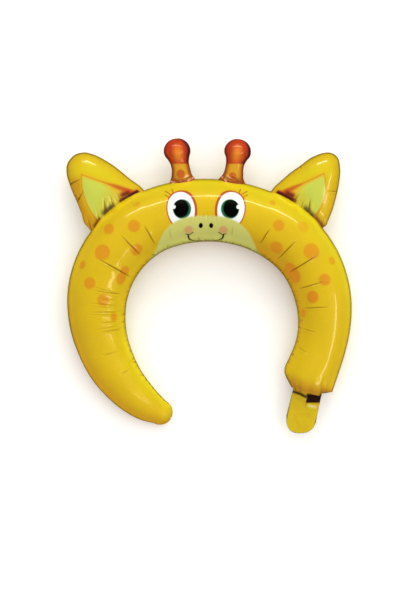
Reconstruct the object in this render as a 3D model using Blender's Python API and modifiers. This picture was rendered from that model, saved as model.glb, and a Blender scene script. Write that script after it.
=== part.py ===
"""A foil headband balloon shaped as a giraffe, inflated and lying on its back.

Two sheets of printed film are welded together round one outline. The band, the ears, the horns and
the filling tail are therefore a single sealed envelope, which is one solid here.

Metres, +Z up. +Y runs from the open ends of the band to the horns, and +X to the tail's side.
Everything is drawn about the centre of the ring, and the finished solid is moved so that the
origin is the middle of its footprint on the table.
"""

import math

import bmesh
import bpy
from mathutils import Vector

# Driving sizes, in metres.
RING_RADIUS = 0.1368  # centre of the ring to the middle of the band, at the sides
BAND_HALF_WIDTH = 0.0384  # at its widest, out to the edge of the weld
BAND_HALF_DEPTH = 0.0350  # at its widest, before the table flattens it
RIM_WIDTH = 0.0020  # flat weld outside the inflated edge
RIM_THICKNESS = 0.0012
RESTING_FLAT = 0.0008  # how far the table presses the underside in
END_DEPTH_RUN = 0.0260  # length over which the filled end closes down to its weld

EAR_LENGTH = 0.0770  # outer edge of the band to the tip
EAR_HALF_WIDTH = 0.0400  # at the root
EAR_HALF_DEPTH = 0.0170
EAR_RIM_THICKNESS = 0.0016
EAR_ROOT_SINK = 0.0180  # how far the root of an ear runs into the band

HORN_LENGTH = 0.0510  # outer edge of the band to the top of the knob
HORN_KNOB_RADIUS = 0.0155
HORN_NECK_RADIUS = 0.0100
HORN_FOOT_RADIUS = 0.0150
HORN_FOOT_SINK = 0.0110  # how far the foot of a horn runs into the band

TAIL_LENGTH = 0.0547  # end weld to the tip of the filling tail
TAIL_HALF_WIDTH = 0.0180
TAIL_THICKNESS = 0.0016
TAIL_CORNER_RADIUS = 0.0150
TAIL_SINK = 0.0120  # how far the tail runs into the filled end
TAIL_SHIFT = 0.0039  # from the middle of the end weld towards the inside of the ring

# Places on the ring, in degrees from +X.
LEFT_EAR_ANGLE = 133.0
RIGHT_EAR_ANGLE = 50.5
LEFT_HORN_ANGLE = 102.5
RIGHT_HORN_ANGLE = 81.0
# The ways in which the ears, horns and tail point, in degrees from +X.
LEFT_EAR_AIM = 126.2
RIGHT_EAR_AIM = 54.7
LEFT_HORN_AIM = 99.8
RIGHT_HORN_AIM = 78.9
TAIL_AIM = -105.0

# Cross-sections of the band from the toe to the filled end: angle on the ring, middle as a share of
# RING_RADIUS, half width as a share of BAND_HALF_WIDTH, turn of the section away from its ray.
BAND_SECTIONS = (
    (243.2, 0.985, 0.396, -2.0),
    (236.4, 0.990, 0.512, -6.1),
    (228.6, 0.988, 0.603, -7.0),
    (218.3, 0.987, 0.688, -6.9),
    (208.7, 0.987, 0.759, -4.7),
    (198.0, 0.988, 0.810, 0.0),
    (184.0, 0.997, 0.886, 0.0),
    (168.0, 1.004, 0.953, 0.0),
    (150.0, 0.994, 0.992, 0.0),
    (130.0, 0.964, 1.003, 0.0),
    (110.0, 0.920, 0.995, 0.0),
    (90.0, 0.897, 0.980, 0.0),
    (70.0, 0.904, 0.970, 0.0),
    (50.0, 0.938, 0.981, 0.0),
    (30.0, 0.975, 0.938, 0.0),
    (10.0, 0.995, 0.888, 0.0),
    (-10.0, 1.008, 0.809, 0.0),
    (-20.0, 1.014, 0.795, 3.0),
    (-27.2, 1.021, 0.814, 10.3),
    (-34.0, 1.047, 0.812, 17.0),
    (-36.8, 1.113, 0.640, 30.1),
)

# Outlines of the two ears: shares of EAR_LENGTH outwards and of EAR_HALF_WIDTH towards the horns.
LEFT_EAR_OUTLINE = (
    (-0.040, 1.000),
    (0.240, 0.910),
    (0.510, 0.770),
    (0.740, 0.590),
    (0.930, 0.330),
    (1.000, 0.030),
    (0.940, -0.340),
    (0.720, -0.580),
    (0.410, -0.710),
    (0.150, -0.840),
    (-0.030, -0.960),
)
RIGHT_EAR_OUTLINE = (
    (-0.040, 0.920),
    (0.320, 0.770),
    (0.510, 0.650),
    (0.680, 0.530),
    (0.860, 0.330),
    (0.950, 0.030),
    (0.880, -0.270),
    (0.640, -0.590),
    (0.450, -0.740),
    (0.240, -0.880),
    (-0.040, -0.985),
)
EAR_SUNK_SHARE = 0.55  # width of the sunk root as a share of EAR_HALF_WIDTH

# A horn's profile: shares of HORN_LENGTH up the neck, and of HORN_NECK_RADIUS there.
HORN_NECK = ((0.12, 1.10), (0.24, 1.0), (0.38, 1.0))
HORN_FOOT_TAPER = 0.84  # radius where a horn leaves the band, as a share of HORN_FOOT_RADIUS
KNOB_CENTRE_SHARE = 0.70
KNOB_FIRST_ANGLE = math.radians(-38)

# How finely the solid is faceted.
BAND_STEPS = 78
END_STEPS = 7
TOE_STEPS = 5
TOE_LAST_ANGLE = math.radians(78)
HALF_SECTION_STEPS = 13
EAR_SEGMENTS = 34
EAR_RINGS = 12
HORN_SIDES = 22
KNOB_STEPS = 7
TAIL_CORNER_STEPS = 7
SHARP_ANGLE = math.radians(40)
END_SEARCH_STEP = 0.1  # degrees, to find where the filled end begins to close
MERGE_DISTANCE = 1e-5

FILM_YELLOW = (0.80, 0.55, 0.02, 1.0)
NODE = "balloon_envelope"


def clear_scene():
    for old in list(bpy.data.objects):
        bpy.data.objects.remove(old, do_unlink=True)


def make_collection(name):
    made = bpy.data.collections.new(name)
    bpy.context.scene.collection.children.link(made)
    return made


def film_material():
    made = bpy.data.materials.new("printed_film")
    made.use_nodes = True
    shader = made.node_tree.nodes["Principled BSDF"]
    shader.inputs["Base Color"].default_value = FILM_YELLOW
    shader.inputs["Roughness"].default_value = 0.28
    shader.inputs["Metallic"].default_value = 0.5
    made.diffuse_color = FILM_YELLOW
    return made


def direction(degrees):
    turn = math.radians(degrees)
    return Vector((math.cos(turn), math.sin(turn), 0.0))


def smooth_row(rows, place):
    """The row at a place along a table whose first column falls, by a cubic through its rows."""
    last = len(rows) - 1
    found = next((i for i in range(last) if place >= rows[i + 1][0]), last - 1)

    def slope(i, column):
        before, after = rows[max(i - 1, 0)], rows[min(i + 1, last)]
        return (after[column] - before[column]) / (after[0] - before[0])

    start, end = rows[found], rows[found + 1]
    run = end[0] - start[0]
    t = (place - start[0]) / run
    values = []
    for column in range(1, len(start)):
        leave, arrive = slope(found, column) * run, slope(found + 1, column) * run
        values.append(
            (2 * t**3 - 3 * t**2 + 1) * start[column]
            + (t**3 - 2 * t**2 + t) * leave
            + (3 * t**2 - 2 * t**3) * end[column]
            + (t**3 - t**2) * arrive
        )
    return values


def band_plan(angle):
    """Middle, outward direction and half width of the band's section at an angle on the ring."""
    middle, width, turn = smooth_row(BAND_SECTIONS, angle)
    return direction(angle) * (RING_RADIUS * middle), direction(angle + turn), width * BAND_HALF_WIDTH


def band_depth(half_width):
    return (half_width - RIM_WIDTH) * BAND_HALF_DEPTH / (BAND_HALF_WIDTH - RIM_WIDTH)


def seam_height(half_depth):
    """Height of the weld over the table, where the underside rests pressed a little flat."""
    return half_depth - RESTING_FLAT


def outer_edge(angle):
    """Point of the band's outer edge at an angle on the ring, at the height of its weld."""
    middle, outward, half_width = band_plan(angle)
    return middle + outward * half_width + Vector((0, 0, seam_height(band_depth(half_width))))


def section_ring(middle, outward, half_width, half_depth, seam, ahead=0.0, rim=RIM_WIDTH):
    """Closed ring of points round one section: front film, weld, back film, weld."""
    half_rim = RIM_THICKNESS / 2
    heading = Vector((-outward.y, outward.x, 0))
    ring = []
    for side in (1, -1):
        weld = Vector((0, 0, seam + side * half_rim)) + heading * ahead
        ring.append(middle + outward * (side * half_width) + weld)
        for step in range(HALF_SECTION_STEPS + 1):
            turn = math.pi * step / HALF_SECTION_STEPS
            across = side * (half_width - rim) * math.cos(turn)
            rise = max(half_depth * math.sin(turn), half_rim)
            ring.append(middle + outward * across + Vector((0, 0, max(seam + side * rise, 0.0))))
        ring.append(middle - outward * (side * half_width) + weld)
    return ring


def toe_rings(middle, outward, half_width):
    """The rounded toe: sections that shrink as a half ellipsoid does, the smallest first."""
    heading = Vector((-outward.y, outward.x, 0))
    half_depth = band_depth(half_width)
    rings = []
    for step in range(TOE_STEPS, 0, -1):
        turn = TOE_LAST_ANGLE * step / TOE_STEPS
        share, forward = math.cos(turn), math.sin(turn)
        rings.append(section_ring(
            middle + heading * ((half_width - RIM_WIDTH) * forward), outward, half_width * share,
            half_depth * share, seam_height(half_depth), RIM_WIDTH * forward, RIM_WIDTH * share))
    return rings


def filled_end_rings(start, stop):
    """The filled end, where the round band closes down to a straight weld, and the weld itself."""
    finish = band_plan(stop)[0]
    run = (finish - band_plan(start)[0]).length
    rings = []
    for step in range(1, END_STEPS + 1):
        angle = start + (stop - start) * math.sin(math.pi / 2 * step / END_STEPS)
        middle, outward, half_width = band_plan(angle)
        closeness = min((finish - middle).length / run, 1.0)
        full = band_depth(band_plan(start)[2])
        depth = full * math.sqrt(max(1 - (1 - closeness) ** 2, 0.0))
        rings.append(section_ring(middle, outward, half_width, depth, seam_height(full)))
    middle, outward, half_width = band_plan(stop)
    past = Vector((outward.y, -outward.x, 0)) * RIM_WIDTH
    full = band_depth(band_plan(start)[2])
    rings.append(section_ring(middle + past, outward, half_width, 0.0, seam_height(full)))
    return rings


def end_run_start():
    """The angle at which the filled end begins to close, END_DEPTH_RUN before the end weld."""
    stop = BAND_SECTIONS[-1][0]
    finish = band_plan(stop)[0]
    angle = stop
    while (band_plan(angle)[0] - finish).length < END_DEPTH_RUN:
        angle += END_SEARCH_STEP
    return angle


def flat_faced_object(name, mesh):
    """An object from a bmesh, cut into triangles because the Boolean needs flat faces."""
    bmesh.ops.triangulate(mesh, faces=mesh.faces)
    data = bpy.data.meshes.new(name)
    mesh.to_mesh(data)
    mesh.free()
    data.shade_smooth()
    data.set_sharp_from_angle(angle=SHARP_ANGLE)
    return bpy.data.objects.new(name, data)


def skin(name, rings):
    """A closed mesh through rings of equally many points, with a flat face over each end."""
    mesh = bmesh.new()
    rows = [[mesh.verts.new(point) for point in ring] for ring in rings]
    count = len(rings[0])
    for near, far in zip(rows, rows[1:]):
        for i in range(count):
            j = (i + 1) % count
            mesh.faces.new((near[i], near[j], far[j], far[i]))
    mesh.faces.new(rows[0])
    mesh.faces.new(list(reversed(rows[-1])))
    bmesh.ops.recalc_face_normals(mesh, faces=mesh.faces)
    return flat_faced_object(name, mesh)


def make_band():
    start, stop = BAND_SECTIONS[0][0], end_run_start()
    rings = toe_rings(*band_plan(start))
    for step in range(BAND_STEPS + 1):
        angle = start + (stop - start) * step / BAND_STEPS
        middle, outward, half_width = band_plan(angle)
        depth = band_depth(half_width)
        rings.append(section_ring(middle, outward, half_width, depth, seam_height(depth)))
    rings += filled_end_rings(stop, BAND_SECTIONS[-1][0])
    return skin(NODE, rings)


def local_frame(root, aim, toward_horns):
    """Places a point given as (outwards, towards the horns) from a root on the band's edge."""
    outward = direction(aim)
    across = direction(aim - 90 * toward_horns)
    return lambda along, side: root + outward * along + across * side


def closed_spline(points, steps):
    """Points round a closed smooth curve through the given ones."""
    count = len(points)
    found = []
    for step in range(steps):
        place = count * step / steps
        i, t = int(place), place % 1.0
        a, b, c, d = (points[(i + k) % count] for k in (-1, 0, 1, 2))
        found.append(tuple(
            0.5 * (2 * b[n] + (c[n] - a[n]) * t + (2 * a[n] - 5 * b[n] + 4 * c[n] - d[n]) * t**2
                   + (3 * b[n] - a[n] - 3 * c[n] + d[n]) * t**3)
            for n in (0, 1)))
    return found


def film_plate(name, outline, height, thickness):
    """A flat piece of film with the given outline, as a filled 2D curve made into a mesh."""
    curve = bpy.data.curves.new(name, "CURVE")
    curve.dimensions = "2D"
    curve.fill_mode = "BOTH"
    curve.extrude = thickness / 2
    spline = curve.splines.new("POLY")
    spline.points.add(len(outline) - 1)
    for point, place in zip(spline.points, outline):
        point.co = (place[0], place[1], 0, 1)
    spline.use_cyclic_u = True
    return solid_from_curve(name, curve, height)


def solid_from_curve(name, curve, height):
    """A mesh object from a curve at a height, with the loose edges of its caps welded."""
    guide = bpy.data.objects.new(name + "_guide", curve)
    guide.location.z = height
    bpy.context.scene.collection.objects.link(guide)
    bpy.context.view_layer.update()
    graph = bpy.context.evaluated_depsgraph_get()
    data = bpy.data.meshes.new_from_object(guide.evaluated_get(graph))
    mesh = bmesh.new()
    mesh.from_mesh(data)
    bmesh.ops.remove_doubles(mesh, verts=mesh.verts, dist=MERGE_DISTANCE)
    bmesh.ops.recalc_face_normals(mesh, faces=mesh.faces)
    mesh.to_mesh(data)
    mesh.free()
    made = bpy.data.objects.new(name, data)
    made.matrix_world = guide.matrix_world
    bpy.data.objects.remove(guide, do_unlink=True)
    return made


def moved_in(outline, by):
    """An outline moved inwards along its normals by a distance."""
    count = len(outline)
    found = []
    for i, point in enumerate(outline):
        before, after = outline[i - 1], outline[(i + 1) % count]
        along = Vector((after[0] - before[0], after[1] - before[1])).normalized()
        found.append((point[0] - along.y * by, point[1] + along.x * by))
    return found


def counter_clockwise(outline):
    turns = sum(a[0] * b[1] - b[0] * a[1] for a, b in zip(outline, outline[1:] + outline[:1]))
    return outline if turns > 0 else outline[::-1]


def make_ear(name, angle, aim, shares, toward_horns):
    """An ear: a round pillow drawn out to the ear's outline, and the flat weld round it."""
    root = outer_edge(angle)
    place = local_frame(root, aim, toward_horns)
    drawn = [(-EAR_ROOT_SINK, side * EAR_SUNK_SHARE * EAR_HALF_WIDTH) for side in (-1, 1)]
    drawn += [(along * EAR_LENGTH, side * EAR_HALF_WIDTH) for along, side in shares]
    weld = counter_clockwise([tuple(place(*p).xy) for p in closed_spline(drawn, EAR_SEGMENTS)])
    outline = moved_in(weld, RIM_WIDTH)
    centre = sum((Vector(p) for p in outline), Vector((0, 0))) / len(outline)

    mesh = bmesh.new()
    bmesh.ops.create_uvsphere(mesh, u_segments=EAR_SEGMENTS, v_segments=EAR_RINGS, radius=1.0)
    for vertex in mesh.verts:
        reach = math.hypot(vertex.co.x, vertex.co.y)
        turn = math.atan2(vertex.co.y, vertex.co.x) / (2 * math.pi) * EAR_SEGMENTS
        edge = Vector(outline[round(turn) % EAR_SEGMENTS])
        plan = centre + (edge - centre) * reach
        vertex.co = (plan.x, plan.y, root.z + vertex.co.z * EAR_HALF_DEPTH)
    pillow = flat_faced_object(name + "_pillow", mesh)
    rim = film_plate(name + "_rim", weld, root.z, EAR_RIM_THICKNESS)
    return [pillow, rim]


def horn_profile():
    """Half outline of a horn: (distance up from the band's edge, radius), from foot to knob."""
    profile = [(-HORN_FOOT_SINK, HORN_FOOT_RADIUS), (0.0, HORN_FOOT_RADIUS * HORN_FOOT_TAPER)]
    for height, radius in HORN_NECK:
        profile.append((height * HORN_LENGTH, radius * HORN_NECK_RADIUS))
    centre = KNOB_CENTRE_SHARE * HORN_LENGTH
    reach = HORN_LENGTH - centre
    for step in range(KNOB_STEPS):
        turn = KNOB_FIRST_ANGLE + (math.pi / 2 - KNOB_FIRST_ANGLE) * step / KNOB_STEPS
        profile.append((centre + reach * math.sin(turn), HORN_KNOB_RADIUS * math.cos(turn)))
    return profile


def make_horn(name, angle, aim):
    """A horn: its half outline turned about its own axis, which lies in the plane of the weld."""
    profile = [(-HORN_FOOT_SINK, 0.0)] + horn_profile() + [(HORN_LENGTH, 0.0)]
    data = bpy.data.meshes.new(name)
    points = [(radius, 0, height) for height, radius in reversed(profile)]
    data.from_pydata(points, [(i, i + 1) for i in range(len(points) - 1)], [])
    horn = bpy.data.objects.new(name, data)
    turned = horn.modifiers.new("turn", "SCREW")
    turned.axis = "Z"
    turned.steps = turned.render_steps = HORN_SIDES
    turned.use_merge_vertices = True
    turned.merge_threshold = MERGE_DISTANCE
    horn.modifiers.new("flat_faces", "TRIANGULATE")
    horn.location = outer_edge(angle)
    horn.rotation_euler = (math.radians(90), 0, math.radians(aim + 90))
    return [horn]


def make_tail():
    """The filling tail: a flat tab with rounded corners, from inside the filled end."""
    middle, outward, _ = band_plan(BAND_SECTIONS[-1][0])
    weld = middle - outward * TAIL_SHIFT
    height = seam_height(band_depth(band_plan(end_run_start())[2]))
    along, across = direction(TAIL_AIM), direction(TAIL_AIM + 90)
    outline = [(-TAIL_SINK, TAIL_HALF_WIDTH), (-TAIL_SINK, -TAIL_HALF_WIDTH)]
    straight, side = TAIL_LENGTH - TAIL_CORNER_RADIUS, TAIL_HALF_WIDTH - TAIL_CORNER_RADIUS
    for corner, first in ((-side, -90), (side, 0)):
        for step in range(TAIL_CORNER_STEPS + 1):
            turn = math.radians(first + 90 * step / TAIL_CORNER_STEPS)
            outline.append((straight + TAIL_CORNER_RADIUS * math.cos(turn),
                            corner + TAIL_CORNER_RADIUS * math.sin(turn)))
    plan = [tuple((weld + along * a + across * b).xy) for a, b in outline]
    return [film_plate("filling_tail", counter_clockwise(plan), height, TAIL_THICKNESS)]


def unite(body, pieces, helpers):
    """Joins hidden pieces to the body, one Boolean for each."""
    for piece in pieces:
        helpers.objects.link(piece)
        piece.hide_render = True
        piece.display_type = "WIRE"
        join = body.modifiers.new(piece.name, "BOOLEAN")
        join.operation = "UNION"
        join.solver = "EXACT"
        join.object = piece


def rest_on_footprint(objects):
    """Moves everything so that the origin is the middle of the finished solid's footprint."""
    bpy.context.view_layer.update()
    graph = bpy.context.evaluated_depsgraph_get()
    corners = [Vector(c) for c in objects[0].evaluated_get(graph).bound_box]
    shift = Vector((-(min(c[n] for c in corners) + max(c[n] for c in corners)) / 2 for n in (0, 1)))
    for thing in objects:
        thing.location += Vector((shift.x, shift.y, 0))


def main():
    clear_scene()
    shown = make_collection("giraffe_headband_balloon")
    helpers = make_collection("joined_pieces")
    body = make_band()
    shown.objects.link(body)
    body.data.materials.append(film_material())
    pieces = (
        make_ear("left_ear", LEFT_EAR_ANGLE, LEFT_EAR_AIM, LEFT_EAR_OUTLINE, 1)
        + make_ear("right_ear", RIGHT_EAR_ANGLE, RIGHT_EAR_AIM, RIGHT_EAR_OUTLINE, -1)
        + make_horn("left_horn", LEFT_HORN_ANGLE, LEFT_HORN_AIM)
        + make_horn("right_horn", RIGHT_HORN_ANGLE, RIGHT_HORN_AIM)
        + make_tail()
    )
    unite(body, pieces, helpers)
    rest_on_footprint([body] + pieces)


main()
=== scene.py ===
"""Looks of the giraffe headband balloon: printed film blown up round, its puckers, and studio light.

Plans are in millimetres about the centre of the ring, with +x to the tail's side and +y to the
horns, and are turned into the frame's metres as each mesh is made. Places read from the photograph
are pixels of its 401 x 601 frame, and from_photo turns them into the same plan.

The print is drawn on the film as it lies flat, before it is filled: every point of the meshes
keeps its place on the flat sheet in the attribute "flat_mm", which the materials read. They also
read "lie_mm", where the point lies in its own piece, and "fold_mm", how deep in a fold it lies,
which the materials darken with painted shade.
"""

import math

import bpy
import numpy as np
from mathutils import Matrix, Vector


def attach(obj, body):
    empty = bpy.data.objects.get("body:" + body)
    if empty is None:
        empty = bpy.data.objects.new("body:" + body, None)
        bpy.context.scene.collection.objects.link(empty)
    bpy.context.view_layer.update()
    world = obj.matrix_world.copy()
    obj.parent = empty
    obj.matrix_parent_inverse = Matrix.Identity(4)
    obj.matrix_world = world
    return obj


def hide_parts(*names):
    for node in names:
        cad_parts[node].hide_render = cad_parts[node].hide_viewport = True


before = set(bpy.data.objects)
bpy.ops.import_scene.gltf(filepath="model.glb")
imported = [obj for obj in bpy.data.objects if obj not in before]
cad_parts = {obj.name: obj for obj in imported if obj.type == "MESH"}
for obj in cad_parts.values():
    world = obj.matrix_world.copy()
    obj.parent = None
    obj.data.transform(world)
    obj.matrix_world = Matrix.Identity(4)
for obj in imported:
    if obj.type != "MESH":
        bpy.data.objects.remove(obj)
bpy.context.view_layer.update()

NODE = "balloon_envelope"
BODY = "root"

# The photograph's scale, and the centre of the ring in it and in the frame.
MM_PER_PIXEL = 1.2
RING_PIXEL = (210.0, 312.0)
PHOTO_CENTRE = (200.0, 300.0)
PHOTO_HEIGHT = 601
RING_CENTRE_MM = (1.17, -31.95)

# The band, as the part has it.
RING_RADIUS = 136.8
BAND_HALF_WIDTH = 38.4
BAND_HALF_DEPTH = 35.0
PART_RIM_WIDTH = 2.0
RESTING_FLAT = 0.8
END_DEPTH_RUN = 26.0
END_FULLNESS = 3.5  # 2 would close the filled end as an ellipse; more keeps it full for longer
BAND_SECTIONS = (
    (243.2, 0.985, 0.396, -2.0),
    (236.4, 0.990, 0.512, -6.1),
    (228.6, 0.988, 0.603, -7.0),
    (218.3, 0.987, 0.688, -6.9),
    (208.7, 0.987, 0.759, -4.7),
    (198.0, 0.988, 0.810, 0.0),
    (184.0, 0.997, 0.886, 0.0),
    (168.0, 1.004, 0.953, 0.0),
    (150.0, 0.994, 0.992, 0.0),
    (130.0, 0.964, 1.003, 0.0),
    (110.0, 0.920, 0.995, 0.0),
    (90.0, 0.897, 0.980, 0.0),
    (70.0, 0.904, 0.970, 0.0),
    (50.0, 0.938, 0.981, 0.0),
    (30.0, 0.975, 0.938, 0.0),
    (10.0, 0.995, 0.888, 0.0),
    (-10.0, 1.008, 0.809, 0.0),
    (-20.0, 1.014, 0.795, 3.0),
    (-27.2, 1.021, 0.814, 10.3),
    (-34.0, 1.047, 0.812, 17.0),
    (-36.8, 1.113, 0.640, 30.1),
)

# The weld as it shows: a thin lip round the inflated film.
LIP_WIDTH = 1.0
LIP_HALF_THICKNESS = 0.22

# How finely the band is meshed.
FINE_STEPS = 6001
STATION_STEP = 0.70
TOE_STATIONS = 34
TOE_LAST_ANGLE = math.radians(87.5)
END_STATIONS = 48
FRONT_CELLS = 58
BACK_CELLS = 26

# Ears: the outline of each as the photograph shows it, in pixels.
EAR_OUTLINES = {
    "left_ear": (
        (142.8, 189.2), (128.0, 177.2), (113.8, 165.6), (100.2, 157.2), (91.3, 153.4), (83.2, 151.9),
        (75.0, 154.0), (69.2, 159.2), (66.2, 165.7), (66.3, 173.8), (68.2, 181.8), (72.3, 192.5),
        (75.7, 200.2), (80.9, 213.0), (85.5, 224.8),
    ),
    "right_ear": (
        (271.6, 189.4), (280.6, 180.2), (289.7, 172.4), (299.7, 165.2), (308.9, 158.2), (316.5, 154.4),
        (322.8, 152.4), (328.4, 151.9), (333.8, 153.7), (337.9, 158.1), (339.3, 163.7), (339.9, 172.1),
        (338.5, 183.6), (336.1, 195.0), (332.3, 208.8), (327.7, 220.3), (324.2, 226.0),
    ),
}
# Two corners of each root, inside the band, in pixels.
EAR_SUNK_CORNERS = {
    "left_ear": ((102.0, 233.0), (146.0, 203.0)),
    "right_ear": ((309.0, 233.0), (268.0, 203.0)),
}
EAR_HALF_DEPTH = 26.0
# An ear thins towards the band: the run over which it does so, and the share of its depth left.
EAR_ROOT_RUN = 78.0
EAR_ROOT_SHARE = 0.32
# Where the ears grow out of the band, in degrees on the ring, how softly these stretches end, and
# how far the front film of the band swells out over the ears' roots.
EAR_ROOT_ANGLES = ((40.0, 62.0), (120.0, 142.0))
EAR_ROOT_SOFT = 3.0
EAR_OVERHANG = 2.2
# Where on the ring each ear takes the height of its weld from, and the seed of its gathers.
EAR_ANGLE = {"left_ear": 133.0, "right_ear": 50.5}
EAR_SEED = {"left_ear": 31, "right_ear": 32}
# Gathers round an ear: points of the outline between them, how far they stray, the least and the
# most of their lengths, depths and widths, and how clear of the band they stay.
EAR_GATHER_STEP = 12
EAR_GATHER_STRAY = 9
EAR_GATHER_SIZES = ((4, 0.1, 0.8), (11, 0.45, 1.3))
EAR_GATHER_CLEAR = 4.0
# How finely an ear is meshed, the angle of its first ring in radians, the reach that marks its lip,
# and how thick it has to be for a fold's full depth.
EAR_AROUND = 400
EAR_RINGS = 76
EAR_BACK_RINGS = 20
EAR_FIRST_RING = 0.004
EAR_LIP_REACH = 1.02
CURVE_STEPS = 24
EAR_FOLD_RISE = 2.5

# Horns: the middles of foot, neck and knob in pixels.
HORNS = {
    "left_horn": {"foot": (181.6, 180.0), "neck": (179.9, 166.0), "knob": (176.6, 150.7)},
    "right_horn": {"foot": (232.0, 180.0), "neck": (234.2, 166.0), "knob": (237.1, 151.3)},
}
# Where on the ring each horn takes the height of its weld from, and the seed of its gathers.
HORN_ANGLE = {"left_horn": 102.5, "right_horn": 81.0}
HORN_SEED = {"left_horn": 41, "right_horn": 42}
# Folds at the feet of the horns, in pixels from and to, with a depth and a width in millimetres.
HORN_CREASES = {
    "left_horn": (
        (184.0, 179.3, 191.9, 175.4, 1.3, 0.9), (173.3, 178.9, 176.9, 182.1, 1.1, 0.9),
        (171.0, 175.5, 174.5, 179.5, 0.8, 0.8), (179.5, 178.5, 182.5, 181.5, 0.7, 0.8),
    ),
    "right_horn": (
        (224.7, 175.7, 230.4, 180.0, 1.3, 0.9), (230.4, 176.4, 235.4, 178.6, 1.0, 0.8),
        (234.5, 177.8, 239.4, 182.3, 1.1, 0.9), (221.4, 173.0, 224.0, 177.0, 0.8, 0.8),
    ),
}
# The length of a horn's root inside the band, the knob's radius, and how far its top is above it.
HORN_SUNK = 12.0
KNOB_RADIUS = 15.6
KNOB_TOP = 15.4
# Half widths of a horn at heights over its start, over its neck and over its knob's middle.
HORN_WIDTHS = (
    ((0, 17.0), (10, 15.6), (14, 13.6), (18, 11.6)),
    ((-3, 10.4), (4, 10.4), (10, 12.4)),
    ((-4, 15.0), (0, KNOB_RADIUS)),
)
HORN_SMOOTHING = 7
HORN_BEND_RUN = 11.0
# The gathers at a horn's foot: their height, their run, the waves round the horn and their size.
HORN_GATHER_HEIGHT = 11.0
HORN_GATHER_RUN = 4.5
HORN_GATHER_WAVES = (5, 7, 9, 13)
HORN_RIPPLE = 0.55
HORN_WAVE = 0.06
HORN_SEAM_RIDGE = 0.5
HORN_RIDGE_WIDTH = 0.10
# Half widths of a horn below which the gathers and the ridge along its weld fade.
HORN_GATHER_FADE = 8.0
HORN_RIDGE_FADE = 4.0
HORN_FLATNESS = 0.94
HORN_FOOT_KEPT = 0.3  # the share of the foot's own width in its height; the rest is the neck's
HORN_AROUND = 128
HORN_RINGS = 120
KNOB_RINGS = 60


def from_photo(x, y):
    """A pixel of the photograph as a place in the plan."""
    return np.array([(x - RING_PIXEL[0]) * MM_PER_PIXEL, (RING_PIXEL[1] - y) * MM_PER_PIXEL])


def photo_row(y):
    """The plan's y at a row of the photograph."""
    return from_photo(0, y)[1]


def mm(pixels):
    return pixels * MM_PER_PIXEL


def direction(degrees):
    turn = np.radians(degrees)
    return np.stack([np.cos(turn), np.sin(turn)], axis=-1)


def turned(way):
    """A direction in the plan turned to its left."""
    return np.stack([-way[..., 1], way[..., 0]], axis=-1)


def run_along(points):
    """How far along a line of points each one lies."""
    return np.append(0, np.cumsum(np.hypot(*np.diff(points, axis=0).T)))


def smooth_columns(rows, places):
    """The columns of a table at places along its falling first column, by a cubic through its rows."""
    table = np.array(rows)
    x, columns = -table[:, 0], table[:, 1:]
    places = -np.asarray(places, dtype=float)
    number = np.arange(len(table))
    before, after = np.maximum(number - 1, 0), np.minimum(number + 1, len(table) - 1)
    slopes = (columns[after] - columns[before]) / (x[after] - x[before])[:, None]
    i = np.clip(np.searchsorted(x, places, side="right") - 1, 0, len(table) - 2)
    run = x[i + 1] - x[i]
    t = ((places - x[i]) / run)[..., None]
    run = run[..., None]
    found = (
        (2 * t**3 - 3 * t**2 + 1) * columns[i]
        + (t**3 - 2 * t**2 + t) * slopes[i] * run
        + (3 * t**2 - 2 * t**3) * columns[i + 1]
        + (t**3 - t**2) * slopes[i + 1] * run
    )
    return np.moveaxis(found, -1, 0)


def band_plan(angles):
    """Middles, outward directions and half widths of the band's sections at angles on the ring."""
    middle, width, turn = smooth_columns(BAND_SECTIONS, angles)
    middles = direction(angles) * (RING_RADIUS * middle)[..., None]
    return middles, direction(angles + turn), width * BAND_HALF_WIDTH


def band_depth(half_width):
    return (half_width - PART_RIM_WIDTH) * BAND_HALF_DEPTH / (BAND_HALF_WIDTH - PART_RIM_WIDTH)


def seam_height(angle):
    """Height of the weld over the table at an angle on the ring."""
    return float(band_depth(band_plan(np.array([angle]))[2][0]) - RESTING_FLAT)


def on_flat_sheet(x, y):
    """Where a pixel of the photograph was on the film while it lay flat, in millimetres."""
    place = from_photo(x, y)
    reach, angle = math.hypot(*place), math.degrees(math.atan2(place[1], place[0]))
    if angle < BAND_SECTIONS[-1][0]:
        angle += 360
    middle, width, _ = smooth_columns(BAND_SECTIONS, np.array([angle]))[:, 0]
    film = width * BAND_HALF_WIDTH - LIP_WIDTH
    middle *= RING_RADIUS
    offset = film * math.asin(max(-1.0, min(1.0, (reach - middle) / film)))
    return place * ((middle + offset) / reach)


def smooth_noise(places, spacing, seed):
    """Smooth random values from -1 to 1 along a line."""
    steps = np.asarray(places) / spacing
    base = np.floor(steps).astype(int)
    values = np.random.default_rng(seed).uniform(-1, 1, base.max() - base.min() + 3)
    t = steps - base
    t = t * t * (3 - 2 * t)
    i = base - base.min()
    return values[i] * (1 - t) + values[i + 1] * t


def smooth_step(low, high, value):
    t = np.clip((value - low) / (high - low), 0, 1)
    return t * t * (3 - 2 * t)


# Creases

# A fold's section: how far off its ridges are, in fold widths, their share of its depth, and how
# many widths off it ends.
RIDGE_OFF = 1.9
RIDGE_SHARE = 0.42
FOLD_REACH = 5


# The dark share sets how strongly a fold is darkened with painted shade.
def crease(start, end, depth, width=0.9, from_seam=False, dark=1.0):
    """A fold line on the flat film. One from a seam is deepest there, and the others in their middle."""
    return {"start": np.array(start, float), "end": np.array(end, float), "depth": depth,
            "width": width, "from_seam": from_seam, "dark": dark}


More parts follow.
